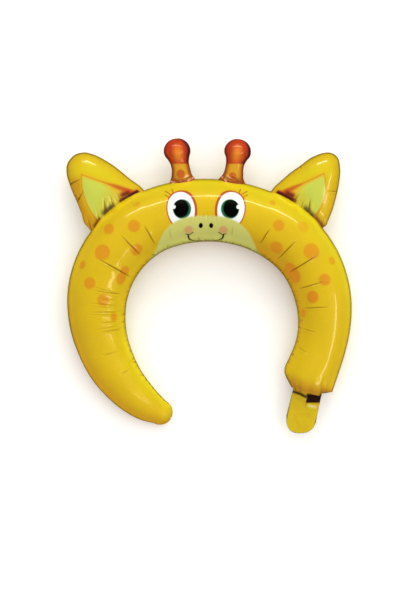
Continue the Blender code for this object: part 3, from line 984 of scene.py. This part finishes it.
CHEEK = (0.6172, 0.2623, 0.1170, 1.0)
INNER_EAR = (0.55, 0.60, 0.070, 1.0)
ORANGE_GLOW = (0.72, 0.40, 0.006, 1.0)
EAR_LINE = (0.58, 0.19, 0.006, 1.0)
EAR_RED = (0.50, 0.06, 0.006, 1.0)
EAR_WEDGE_SHADE = (0.060, 0.001, 0.004, 1.0)
EAR_BROWN_SHADE = (0.19, 0.038, 0.005, 1.0)
EAR_SHADOW = (0.060, 0.035, 0.016, 1.0)
EAR_YELLOW = (0.62, 0.47, 0.015, 1.0)
HORN_RED = (0.47, 0.036, 0.004, 1.0)
HORN_PAINTED_LIGHT = (0.76, 0.235, 0.020, 1.0)
HORN_SIDE_SHADE = (0.10, 0.010, 0.016, 1.0)
HORN_FOOT = (0.62, 0.30, 0.010, 1.0)
HORN_FOOT_SHADE = (0.32, 0.060, 0.008, 1.0)
HORN_FOLD_HIGHLIGHT = (0.86, 0.42, 0.25, 1.0)
HORN_SPOT = (0.48, 0.085, 0.006, 1.0)

# Spots on the band: pixel x and y, radius in pixels, and how strongly they are printed.
SPOTS = (
    (137.6, 205.0, 3.2, 0.6), (115.3, 211.8, 3.0, 0.35), (109.2, 229.2, 6.0, 0.8),
    (134.1, 226.1, 6.5, 0.8), (102.4, 252.2, 8.4, 0.8), (136.7, 249.6, 6.5, 0.85),
    (82.4, 264.5, 4.6, 0.8), (124.5, 271.0, 5.7, 0.85), (121.2, 278.4, 6.2, 0.85),
    (89.8, 282.7, 6.3, 0.8), (103.5, 299.6, 6.3, 0.75), (113.7, 316.5, 4.2, 0.75),
    (271.4, 203.3, 3.2, 0.6), (293.9, 209.8, 3.0, 0.35), (277.6, 225.5, 6.0, 0.75),
    (302.0, 227.1, 6.0, 0.35), (275.5, 247.6, 7.0, 0.85), (310.2, 251.2, 8.6, 0.75),
    (330.9, 260.4, 4.3, 0.6), (289.8, 270.0, 8.4, 1.0), (292.9, 275.0, 8.4, 1.0),
    (323.5, 279.2, 6.3, 0.85), (311.2, 296.5, 6.6, 1.0), (302.8, 312.4, 4.4, 0.8),
)
SPOT_SHRINK = 0.95
SPOT_SOFT = 1.5
# Spots of the plain back: shares across and radii in millimetres, which repeat along the ring.
BACK_SPOTS = ((0.3, 8.5), (-0.25, 6.5), (0.05, 9.5), (-0.45, 7.0), (0.42, 6.0))
BACK_SPOT_ANGLES = tuple(26.0 + 23.5 * i for i in range(9))
BACK_SPOT_STRENGTH = 0.7

# The film's gloss. Ink over bright film gives it a little metal.
FILM_METALLIC = 0.10
FILM_ROUGHNESS = (0.32, 0.40)
FILM_SPECULAR = 0.3
COAT_ROUGHNESS = 0.05
COAT_IOR = 1.5
BUMP_STRENGTH = 0.3
BUMP_METRES = 0.00015
FINE_GRAIN = 420
BROAD_GRAIN = 45


def finish_film(tree, colour, coat=1.0):
    """Sets the film's gloss: a clear hard coat over ink, with faint waves where it isn't taut. It also
    darkens the folds with painted shade.
    """
    shader = tree.shader
    place = tree.nodes.new("ShaderNodeTexCoord").outputs["Object"]
    fine = tree.noise(place, FINE_GRAIN)
    broad = tree.noise(place, BROAD_GRAIN)
    tone = tree.steps(broad, 0.3, 0.7, 0.975, 1.015)
    colour = tree.mix(colour, tree.join(tone, tone, tone), 1.0, "MULTIPLY")
    # Painted shade: the folds are darkened by how deep in them a place lies.
    colour = tree.shade(colour, FOLD_SHADE, tree.attribute("fold_mm", "Fac"), 0.1, 0.9, 0.8)
    tree.put(shader.inputs["Base Color"], colour)
    tree.put(shader.inputs["Roughness"], tree.steps(fine, 0.25, 0.75, *FILM_ROUGHNESS))
    tree.put(shader.inputs["Coat Weight"], coat)
    shader.inputs["Metallic"].default_value = FILM_METALLIC
    shader.inputs["Specular IOR Level"].default_value = FILM_SPECULAR
    shader.inputs["Coat Roughness"].default_value = COAT_ROUGHNESS
    shader.inputs["Coat IOR"].default_value = COAT_IOR
    bump = tree.nodes.new("ShaderNodeBump")
    bump.inputs["Strength"].default_value = BUMP_STRENGTH
    bump.inputs["Distance"].default_value = BUMP_METRES
    tree.put(bump.inputs["Height"], tree.calc("MULTIPLY_ADD", broad, 3.0, fine))
    tree.put(shader.inputs["Normal"], bump.outputs[0])
    tree.put(shader.inputs["Coat Normal"], bump.outputs[0])
    return tree.material


def photo_stroke(tree, place, ends, radius):
    """Distance outside a stroke between two pixels of the photograph."""
    return tree.stroke(place, *(from_photo(*end) for end in ends), radius)


# Which way the film faces where painted light makes it lemon, with painted shade making it gold on the
# other side, and how much lighter painted light makes it near its edges.
LIGHT_SIDE = (0.45, 0.89)
EDGE_PAINTED_LIGHT = 1.36


def lit_band_ground(tree, place, share):
    """The ground colour, in painted light and shade: lemon where the film faces the horns and the tail's
    side, gold opposite.
    """
    outward = tree.vector("NORMALIZE", place)
    lean = tree.times(share, tree.dot(outward, *LIGHT_SIDE))
    colour = tree.shade(MIDDLE_YELLOW, LEMON, lean, 0.05, 0.65)
    return tree.shade(colour, GOLD, lean, 0.0, -0.75)


def edge_light_and_olive(tree, colour, share):
    """Painted light makes the film lighter where it curves away; it is olive in the last strip before the
    weld.
    """
    off = tree.calc("ABSOLUTE", share)
    colour = tree.shade(colour, tree.vector("SCALE", colour, scale=EDGE_PAINTED_LIGHT), off, 0.5, 0.85)
    return tree.shade(colour, OLIVE_EDGE, off, 0.97, 1.0, 0.7)


def paint_spots(tree, place, colour, spots):
    """Prints the orange spots, those of one strength together."""
    for strength in sorted({spot[-1] for spot in spots}):
        near = tree.nearest([tree.circle(place, centre, SPOT_SHRINK * radius)
                             for centre, radius, power in spots if power == strength])
        colour = tree.ink(colour, SPOT, near, SPOT_SOFT, strength)
    return colour


def front_spots():
    return [(on_flat_sheet(x, y), mm(radius), strength) for x, y, radius, strength in SPOTS]


def back_spots():
    found = []
    for number, angle in enumerate(BACK_SPOT_ANGLES):
        share, radius = BACK_SPOTS[number % len(BACK_SPOTS)]
        centre = direction(angle) * RING_RADIUS * (0.95 + 0.2 * share)
        found.append((centre, radius, BACK_SPOT_STRENGTH))
    return found


# The face, drawn in pixels for its left half and mirrored: places, then radii across and up.
FACE_AXIS_PIXEL = 205.5
FACE_AXIS = mm(FACE_AXIS_PIXEL - RING_PIXEL[0])
EYE_OVAL = ((180.8, 209.4), (13.45, 19.0))
EYE_TILT = 8
IRIS_OVAL = ((181.7, 209.1), (9.0, 9.9))
PUPIL_OVAL = ((180.6, 208.6), (7.8, 9.1))
GLINT_OVAL = ((173.3, 207.2), (2.1, 2.1))
CHEEK_OVAL = ((188.1, 229.8), (4.3, 4.6))
NOSTRIL_OVAL = ((200.3, 225.6), (2.0, 2.9))
# The line round an eye: how far from the face's axis it is widest and thinnest, and these widths.
EYE_LINE_RUN = (12, 32)
EYE_LINE_WIDTHS = (3.0, 1.4)
# Strokes of the lashes and of the smile's end, with half their widths in millimetres.
LASHES = (
    ((173.0, 193.4), (171.4, 189.3), 0.75), ((171.2, 195.4), (164.8, 191.3), 0.75),
    ((169.6, 198.0), (164.7, 195.2), 0.75), ((168.6, 198.8), (172.4, 194.2), 1.5),
)
SMILE_TICKS = (((185.3, 233.9), (189.2, 234.4), 0.65), ((189.2, 234.4), (192.6, 232.2), 0.65))
# The smile's arc: the height of its middle over the ring's, its radius, and half its line's width.
SMILE_HEIGHT = mm(74.8)
SMILE_RADIUS = mm(16.7)
SMILE_HALF_LINE = 0.95
# The muzzle: half its width, the height over the ring's middle from which it rounds, its rise, how
# far out its edge's value would reach 1, and the heights between which its green turns paler.
MUZZLE_HALF_WIDTH = mm(46.5)
MUZZLE_SHOULDER = mm(55.0)
MUZZLE_RISE = mm(41.0)
MUZZLE_SQUARENESS = 2.6
MUZZLE_EDGE_RUN = mm(15.0)
MUZZLE_PALER = (mm(58.0), mm(70.0))


def on_face(x, y):
    """A pixel of the face's left half on the flat film, mirrored to the right of its axis."""
    flat = on_flat_sheet(x, y)
    return (FACE_AXIS - flat[0], flat[1])


def face_oval(tree, half, oval, tilt=0.0):
    centre, (across, tall) = oval
    return tree.ellipse(half, on_face(*centre), mm(across), mm(tall), tilt)


def face_strokes(tree, half, strokes):
    return tree.nearest([tree.stroke(half, on_face(*start), on_face(*end), radius)
                         for start, end, radius in strokes])


def paint_eyes(tree, half, side, colour):
    """Prints the eyes from below: glow, line, lashes, white, iris, pupil and glint."""
    eye = face_oval(tree, half, EYE_OVAL, EYE_TILT)
    line_width = tree.steps(side, *(mm(run) for run in EYE_LINE_RUN), *EYE_LINE_WIDTHS)
    line = tree.minus(eye, line_width)
    colour = tree.shade(colour, ORANGE_GLOW, line, 3.2, 0.0, 0.55)
    colour = tree.ink(colour, EYE_LINE, line, 0.5)
    colour = tree.ink(colour, EYE_LINE, face_strokes(tree, half, LASHES), 0.4, 0.85)
    colour = tree.ink(colour, EYE_WHITE, eye, 0.4)
    colour = tree.ink(colour, IRIS, face_oval(tree, half, IRIS_OVAL), 0.6)
    colour = tree.ink(colour, INK, face_oval(tree, half, PUPIL_OVAL), 0.6)
    return tree.ink(colour, EYE_WHITE, face_oval(tree, half, GLINT_OVAL), 0.4)


def paint_muzzle(tree, side, y, colour):
    """Prints the pale green muzzle, which reaches down to the band's inner weld."""
    def squared(value, reach):
        return tree.calc("POWER", tree.calc("DIVIDE", value, reach), MUZZLE_SQUARENESS)

    wide = squared(side, MUZZLE_HALF_WIDTH)
    tall = squared(tree.calc("MAXIMUM", tree.minus(y, MUZZLE_SHOULDER), 0.0), MUZZLE_RISE)
    muzzle = tree.times(tree.minus(tree.calc("ADD", wide, tall), 1.0), MUZZLE_EDGE_RUN)
    muzzle = tree.calc("MAXIMUM", muzzle, tree.times(y, -1.0))
    green = tree.mix(MUZZLE, MUZZLE_LOW, tree.steps(y, *MUZZLE_PALER, 1.0, 0.0))
    return tree.ink(colour, green, muzzle, 1.4)


def paint_face(tree, place, colour):
    """Prints the eyes, the muzzle, the cheeks, the nostrils and the smile."""
    x, y, _ = tree.parts(place)
    side = tree.calc("ABSOLUTE", tree.minus(x, FACE_AXIS))
    half = tree.join(side, y)
    colour = paint_eyes(tree, half, side, colour)
    colour = paint_muzzle(tree, side, y, colour)
    colour = tree.ink(colour, CHEEK, face_oval(tree, half, CHEEK_OVAL), 1.8, 0.75)
    arc = tree.circle(place, (FACE_AXIS, SMILE_HEIGHT), SMILE_RADIUS)
    arc = tree.minus(tree.calc("ABSOLUTE", arc), SMILE_HALF_LINE)
    arc = tree.calc("MAXIMUM", arc, tree.minus(y, SMILE_HEIGHT))
    nostrils = face_oval(tree, half, NOSTRIL_OVAL)
    ink = tree.nearest([nostrils, arc, face_strokes(tree, half, SMILE_TICKS)])
    return tree.ink(colour, INK, ink, 0.45)


# The lower left leg shows no highlight: where its coat fades, in millimetres from the filled end,
# and the weight that is left.
DULL_FROM = 520.0
DULL_TO = 560.0
DULL_COAT = 0.3


def band_material():
    """Film of the band: spots and the face in front, plain spots behind, with painted light and shade."""
    tree = Tree("film_band")
    x, y, back = tree.parts(tree.attribute("flat_mm"))
    place = tree.join(x, y)
    from_end, share, lip = tree.parts(tree.attribute("lie_mm"))
    plain = lit_band_ground(tree, place, share)
    # Painted shade: deeper orange towards the filled end, where the film turns under.
    plain = tree.shade(plain, END_SHADE, from_end, 15.0, 3.0, 0.8)
    front = paint_face(tree, place, paint_spots(tree, place, plain, front_spots()))
    front = tree.mix(front, OLIVE_EDGE, tree.times(lip, 0.85))
    rear = paint_spots(tree, place, plain, back_spots())
    colour = edge_light_and_olive(tree, tree.shade(front, rear, back, 0.45, 0.55), share)
    return finish_film(tree, colour, tree.steps(from_end, DULL_FROM, DULL_TO, 1.0, DULL_COAT))


# The inner ear in pixels: its tip, where its upper and outer edges meet the band, and the strokes of
# painted shade, over the print's red, along the crease at the band: a dark wedge, a grey fold and a
# brown one. The bow is how far its outer edge bows, in millimetres, the turn is the side of the edges
# that is inside, and the gold is the strength of the golden strip of painted shade beside it.
INNER_EARS = {
    "left_ear": {
        "tip": (81.5, 174.5), "upper": (128.0, 190.6), "outer": (95.0, 218.0), "bow": -5.2,
        "turn": -1.0, "gold": 0.95,
        "wedge": ((121.0, 200.3), (136.5, 191.6)), "wedge_top": ((122.8, 194.6), (127.5, 192.6)),
        "grey": ((104.0, 212.3), (111.5, 206.3)), "brown": ((94.5, 225.5), (99.0, 219.0)),
    },
    "right_ear": {
        "tip": (323.0, 173.5), "upper": (283.0, 192.0), "outer": (315.0, 215.0), "bow": 6.5,
        "turn": 1.0, "gold": 0.25,
        "wedge": ((293.5, 200.4), (278.0, 192.2)), "wedge_top": ((291.4, 195.2), (286.5, 193.0)),
        "grey": ((305.0, 208.5), (311.5, 215.0)), "brown": ((316.0, 218.0), (322.0, 225.5)),
    },
}
# The rows of the photograph between which the golden strip of painted shade fades towards the tip.
EAR_GOLD_ROWS = (184.0, 173.0)
# The widths of the line round the inner ear and of the glow inside it, from the tip to the band.
EAR_HALF_LINES = (0.5, 1.6)
EAR_LINE_SOFT = (1.0, 3.2)
EAR_GLOW_RUNS = (5.0, 12.0)
# Strokes of the folds: half their widths, and the strength of the painted shade in them.
EAR_WEDGE_RADIUS = 1.2
EAR_WEDGE_TOP_RADIUS = 2.6
EAR_FOLD_RADIUS = 1.4
EAR_FOLD_STRENGTH = 0.92


def ear_ground(tree, share):
    colour = tree.shade(LEMON, MIDDLE_YELLOW, share, 0.55, 0.95)
    return tree.shade(colour, OLIVE_EDGE, share, 0.972, 1.0, 0.8)


def inner_ear(tree, upper, outer, along, heat):
    """The pale green of an inner ear, yellower towards the band, with an orange glow at its edges."""
    colour = tree.shade(INNER_EAR, EAR_YELLOW, along, 0.40, 0.85, 0.75)
    glow_run = tree.steps(heat, 0.0, 1.0, *EAR_GLOW_RUNS)
    colour = tree.mix(colour, ORANGE_GLOW, tree.steps(upper, 0.0, glow_run, 0.9, 0.0))
    return tree.mix(colour, ORANGE_GLOW, tree.steps(outer, 0.0, 3.5, 0.5, 0.0))


def ear_material(name):
    """Film of one ear: a pale green inner ear in an orange line that burns red towards the band, with
    painted shade in the crease at the band and beside the outer line.
    """
    tree = Tree("film_" + name)
    x, y, back = tree.parts(tree.attribute("flat_mm"))
    place = tree.join(x, y)
    _, share, _ = tree.parts(tree.attribute("lie_mm"))
    plain = ear_ground(tree, share)
    shape = INNER_EARS[name]
    tip, upper_end, outer_end = (from_photo(*shape[key]) for key in ("tip", "upper", "outer"))
    upper = tree.times(tree.beside(place, tip, upper_end), shape["turn"])
    outer = tree.times(tree.beside(place, tip, outer_end, shape["bow"]), -shape["turn"])
    within = tree.calc("MINIMUM", upper, outer)
    along = tree.along(place, tip, upper_end)
    heat = tree.steps(along, 0.30, 0.95)

    colour = tree.shade(plain, ORANGE_GLOW, within, -8.0, 0.0, 0.5)
    # Painted shade: a golden strip beside the inner ear's outer line, strong on the left ear.
    gold = tree.steps(y, *(photo_row(row) for row in EAR_GOLD_ROWS), shape["gold"], 0.0)
    colour = tree.mix(colour, GOLD, tree.times(tree.steps(outer, 0.0, -4.0), gold))
    inner = inner_ear(tree, upper, outer, along, heat)
    colour = tree.ink(colour, inner, tree.times(within, -1.0), 0.4)
    line = tree.minus(tree.calc("ABSOLUTE", within), tree.steps(heat, 0.0, 1.0, *EAR_HALF_LINES))
    soft = tree.steps(heat, 0.0, 1.0, *EAR_LINE_SOFT)
    colour = tree.shade(colour, tree.mix(EAR_LINE, EAR_RED, heat), line, soft, -1.0, 0.9)
    colour = ear_crease_shade(tree, place, colour, shape)
    return finish_film(tree, tree.shade(colour, plain, back, 0.45, 0.55))


def ear_crease_shade(tree, place, colour, shape):
    """Painted shade in the crease at the band: a dark wedge in a red fringe, and a grey and a brown fold.
    """
    low = photo_stroke(tree, place, shape["wedge"], EAR_WEDGE_RADIUS)
    top = photo_stroke(tree, place, shape["wedge_top"], EAR_WEDGE_TOP_RADIUS)
    colour = tree.shade(colour, EAR_RED, tree.nearest([low, top]), 4.5, -1.0, 0.85)
    colour = tree.shade(colour, EAR_WEDGE_SHADE, top, 1.8, -EAR_WEDGE_TOP_RADIUS, 0.8)
    colour = tree.shade(colour, EAR_WEDGE_SHADE, low, 2.6, -0.4, 0.95)
    for key, ink, soft in (("grey", EAR_SHADOW, 5.0), ("brown", EAR_BROWN_SHADE, 3.0)):
        near = photo_stroke(tree, place, shape[key], EAR_FOLD_RADIUS)
        colour = tree.shade(colour, ink, near, soft, -EAR_FOLD_RADIUS, EAR_FOLD_STRENGTH)
    return colour


# The rows of the photograph at which a horn turns red, and between which painted shade darkens its foot.
HORN_RED_FROM = 163.6
HORN_FOOT_ROWS = (182.0, 174.5)
# Painted light in each knob's middle: its radii in millimetres, middles in pixels and tilts in degrees.
HORN_LIT_RADII = (6.0, 10.0)
HORN_LIT_PATCHES = (((177.6, 154.0), -8.0), ((236.4, 154.0), 8.0))
# One spot on each horn: its place in pixels and its radius in millimetres.
HORN_SPOTS = (((180.2, 173.6), 5.2), ((231.9, 176.0), 4.6))
# Painted highlights on the folded film at the feet: half the strokes' width, and the strokes in pixels.
HORN_HIGHLIGHT_RADIUS = 0.4
HORN_HIGHLIGHT_FOLDS = (
    ((187.6, 180.4), (192.4, 177.6)), ((170.4, 181.0), (173.8, 182.2)), ((184.8, 177.0), (187.6, 175.2)),
    ((221.2, 176.3), (225.6, 180.9)), ((226.4, 176.0), (229.4, 177.8)),
)


def horn_material():
    """Film of the horns: a red knob with painted light in its middle and painted shade at its sides, over
    an orange foot shaded at its sides and bottom, with a spot and painted highlights on its folds.
    """
    tree = Tree("film_horns")
    x, y, _ = tree.parts(tree.attribute("flat_mm"))
    _, side, _ = tree.parts(tree.attribute("lie_mm"))
    place = tree.join(x, y)
    off = tree.calc("ABSOLUTE", side)
    # Painted light in the knob's middle, and painted shade at its sides, darker on the right.
    glow = tree.nearest([tree.ellipse(place, from_photo(*centre), *HORN_LIT_RADII, tilt)
                         for centre, tilt in HORN_LIT_PATCHES])
    red = tree.shade(HORN_RED, HORN_PAINTED_LIGHT, glow, 3.5, -6.0)
    red = tree.shade(red, HORN_SIDE_SHADE, off, 0.72, 1.0, 0.55)
    red = tree.shade(red, HORN_SIDE_SHADE, side, 0.55, 0.97)
    # Painted shade at the foot's sides and where it meets the band.
    foot = tree.shade(HORN_FOOT, HORN_FOOT_SHADE, off, 0.45, 1.0)
    foot = tree.shade(HORN_FOOT_SHADE, foot, y, *(photo_row(row) for row in HORN_FOOT_ROWS))
    edge = photo_row(HORN_RED_FROM)
    colour = tree.shade(foot, red, y, edge - 0.8, edge + 0.8)
    spots = tree.nearest([tree.circle(place, from_photo(*centre), radius)
                          for centre, radius in HORN_SPOTS])
    colour = tree.ink(colour, HORN_SPOT, spots, 1.0, 0.9)
    # Painted highlights on the folds at the feet.
    pale = tree.nearest([photo_stroke(tree, place, ends, HORN_HIGHLIGHT_RADIUS) for ends in HORN_HIGHLIGHT_FOLDS])
    return finish_film(tree, tree.shade(colour, HORN_FOLD_HIGHLIGHT, pale, 1.3, -0.3, 0.8))


# The painted shadow where the weld of the filled end crosses the tail: half its width, and its line in
# pixels.
WELD_RADIUS = 1.5
WELD_ROW = ((292.0, 391.0), (299.0, 393.2), (305.0, 396.4), (309.0, 395.4), (321.0, 397.2))
# Where the film folded below the mouth of the channel gets a painted highlight, in pixels, and half
# the widths of its pale patch and of the line in it.
MOUTH_HIGHLIGHT = ((308.4, 405.2), (314.6, 406.6))
GLEAM_PATCH = 1.2
GLEAM_LINE = 0.1


def tail_material():
    """Film of the tail, with painted shade inside the mouth of its channel, under the weld of the filled
    end and towards its top, and a painted highlight below the mouth.
    """
    tree = Tree("film_tail")
    along, edge, mouth = tree.parts(tree.attribute("lie_mm"))
    x, y, _ = tree.parts(tree.attribute("flat_mm"))
    place = tree.join(x, y)
    ground = tree.shade(TAIL_YELLOW, GOLD, tree.noise(place, 0.12, 1.0), 0.42, 0.62, 0.35)
    # Painted shade: golder towards the tail's top, under the filled end.
    ground = tree.shade(ground, GOLD, along, 0.32, 0.05, 0.8)
    colour = tree.shade(OLIVE_EDGE, ground, edge, 0.0, 1.1)
    # Painted shadow of the filled end's weld.
    weld = tree.nearest([photo_stroke(tree, place, ends, WELD_RADIUS)
                         for ends in zip(WELD_ROW, WELD_ROW[1:])])
    colour = tree.ink(colour, MOUTH_SHADE, weld, 0.9, 0.9)
    patch, line = (photo_stroke(tree, place, MOUTH_HIGHLIGHT, radius) for radius in (GLEAM_PATCH, GLEAM_LINE))
    # Painted highlight on the fold below the mouth: a pale patch, and a white line in it.
    colour = tree.shade(colour, TAIL_HIGHLIGHT, patch, 2.2, 0.0, 0.6)
    colour = tree.shade(colour, EYE_WHITE, line, 0.8, 0.0, 0.5)
    return finish_film(tree, tree.mix(colour, MOUTH_SHADE, mouth))


# Studio

# The pale floor just under the balloon, and the broad light. All here is in metres and watts.
FLOOR_SIZE = 8.0
FLOOR_DROP = 0.0004
FLOOR_COLOUR = (0.92, 0.92, 0.92, 1.0)
WORLD_STRENGTH = 0.90
KEY_STRENGTH = 1.08
KEY_WIDTH = math.radians(75)
KEY_FROM = (0.16, 0.55, 1.0)
# Strip lights beyond the horns, aimed at the face: a long one, and a short one for the ears alone.
STRIP_TINT = (1.0, 0.94, 0.72)
STRIP_AIM = (0.0, 0.1, 0.05)
FAR_STRIP = {"location": (0.05, 1.05, 0.80), "size": (1.84, 0.082), "power": 4.3, "colour": STRIP_TINT}
EAR_STRIP = {"location": (0.0, 1.05, 0.80), "size": (0.80, 0.14), "power": 3.0}
# Corners of the bent strip light at the side: degrees from +X and from straight up.
SIDE_STRIP = ((-46.0, 29.5), (-30.0, 43.0), (-14.0, 50.5), (-2.5, 50.0))
SIDE_STRIP_DISTANCE = 8.0
SIDE_STRIP_WIDTH = 0.64
SIDE_STRIP_POWER = 8.5  # for each metre
# The camera, and the height at which its picture has the photograph's scale.
CAMERA_DISTANCE = 4.0
CAMERA_SENSOR = 36.0
FACE_PLANE = 0.034


def make_floor():
    bpy.ops.mesh.primitive_plane_add(size=FLOOR_SIZE, location=(0, 0, -FLOOR_DROP))
    floor = bpy.context.object
    floor.name = "floor"
    tree = Tree("pale_floor")
    tree.shader.inputs["Base Color"].default_value = FLOOR_COLOUR
    tree.shader.inputs["Roughness"].default_value = 0.9
    tree.shader.inputs["Specular IOR Level"].default_value = 0.1
    floor.data.materials.append(tree.material)
    floor.visible_glossy = False
    return floor


def area_light(name, location, size, power, colour=(1, 1, 1)):
    data = bpy.data.lights.new(name, "AREA")
    data.shape = "RECTANGLE"
    data.size, data.size_y = size
    data.energy = power
    data.color = colour
    light = bpy.data.objects.new(name, data)
    light.location = location
    aim = Vector(STRIP_AIM) - Vector(location)
    light.rotation_euler = aim.to_track_quat("-Z", "Y").to_euler()
    bpy.context.scene.collection.objects.link(light)
    return light


def side_strips():
    """A bent strip light in straight pieces, each turned to face the balloon."""
    aims = np.radians(SIDE_STRIP)
    corners = SIDE_STRIP_DISTANCE * np.stack([
        np.sin(aims[:, 1]) * np.cos(aims[:, 0]), np.sin(aims[:, 1]) * np.sin(aims[:, 0]),
        np.cos(aims[:, 1])], axis=-1)
    for number, (start, end) in enumerate(zip(corners, corners[1:])):
        length = float(np.linalg.norm(end - start))
        middle, along = Vector((start + end) / 2), Vector(end - start).normalized()
        light = area_light(f"strip_side_{number}", middle, (length, SIDE_STRIP_WIDTH),
                           SIDE_STRIP_POWER * length, STRIP_TINT)
        away = middle.normalized()
        away = (away - along * away.dot(along)).normalized()
        light.rotation_euler = Matrix((along, away.cross(along), away)).transposed().to_euler()


def shine_only_on(light, pieces):
    """Keeps a light for the given pieces, as a studio does with flags."""
    lit = bpy.data.collections.new(light.name + "_lights")
    for piece in pieces:
        lit.objects.link(piece)
    light.light_linking.receiver_collection = lit


def make_key():
    """Broad light from above the face that stays out of the reflections."""
    data = bpy.data.lights.new("broad_key", "SUN")
    data.energy = KEY_STRENGTH
    data.angle = KEY_WIDTH
    key = bpy.data.objects.new("broad_key", data)
    key.rotation_euler = Vector(KEY_FROM).to_track_quat("Z", "Y").to_euler()
    key.visible_glossy = False
    bpy.context.scene.collection.objects.link(key)


def make_world():
    """Even white light from all round, which stays out of the reflections too."""
    world = bpy.data.worlds.new("studio")
    bpy.context.scene.world = world
    world.use_nodes = True
    background = world.node_tree.nodes["Background"]
    background.inputs["Color"].default_value = (1, 1, 1, 1)
    background.inputs["Strength"].default_value = WORLD_STRENGTH
    world.cycles_visibility.glossy = False


def make_lights(ears, others):
    """Strips that draw the highlights, and broad light."""
    shine_only_on(area_light("strip_far", **FAR_STRIP), others)
    shine_only_on(area_light("strip_ears", **EAR_STRIP), ears)
    side_strips()
    make_key()
    make_world()


def make_camera():
    """Looks straight down on the lying balloon, as the photograph looks straight at its face."""
    data = bpy.data.cameras.new("camera")
    data.sensor_width = CAMERA_SENSOR
    half_view = PHOTO_HEIGHT * MM_PER_PIXEL / 2000
    data.lens = CAMERA_SENSOR / 2 * CAMERA_DISTANCE / half_view
    camera = bpy.data.objects.new("camera", data)
    x, y = (from_photo(*PHOTO_CENTRE) + RING_CENTRE_MM) / 1000
    camera.location = (x, y, FACE_PLANE + CAMERA_DISTANCE)
    bpy.context.scene.collection.objects.link(camera)
    bpy.context.scene.camera = camera


def dress(piece, material):
    piece.data.materials.append(material)
    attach(piece, BODY)
    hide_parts(NODE)
    return piece


def main():
    bpy.context.scene.view_settings.view_transform = "Standard"
    others = [dress(make_band(), band_material()), dress(make_tail(), tail_material())]
    ears = [dress(make_ear(name), ear_material(name)) for name in EAR_OUTLINES]
    film = horn_material()
    others += [dress(make_horn(name), film) for name in HORNS]
    make_lights(ears, others + [make_floor()])
    make_camera()


main()
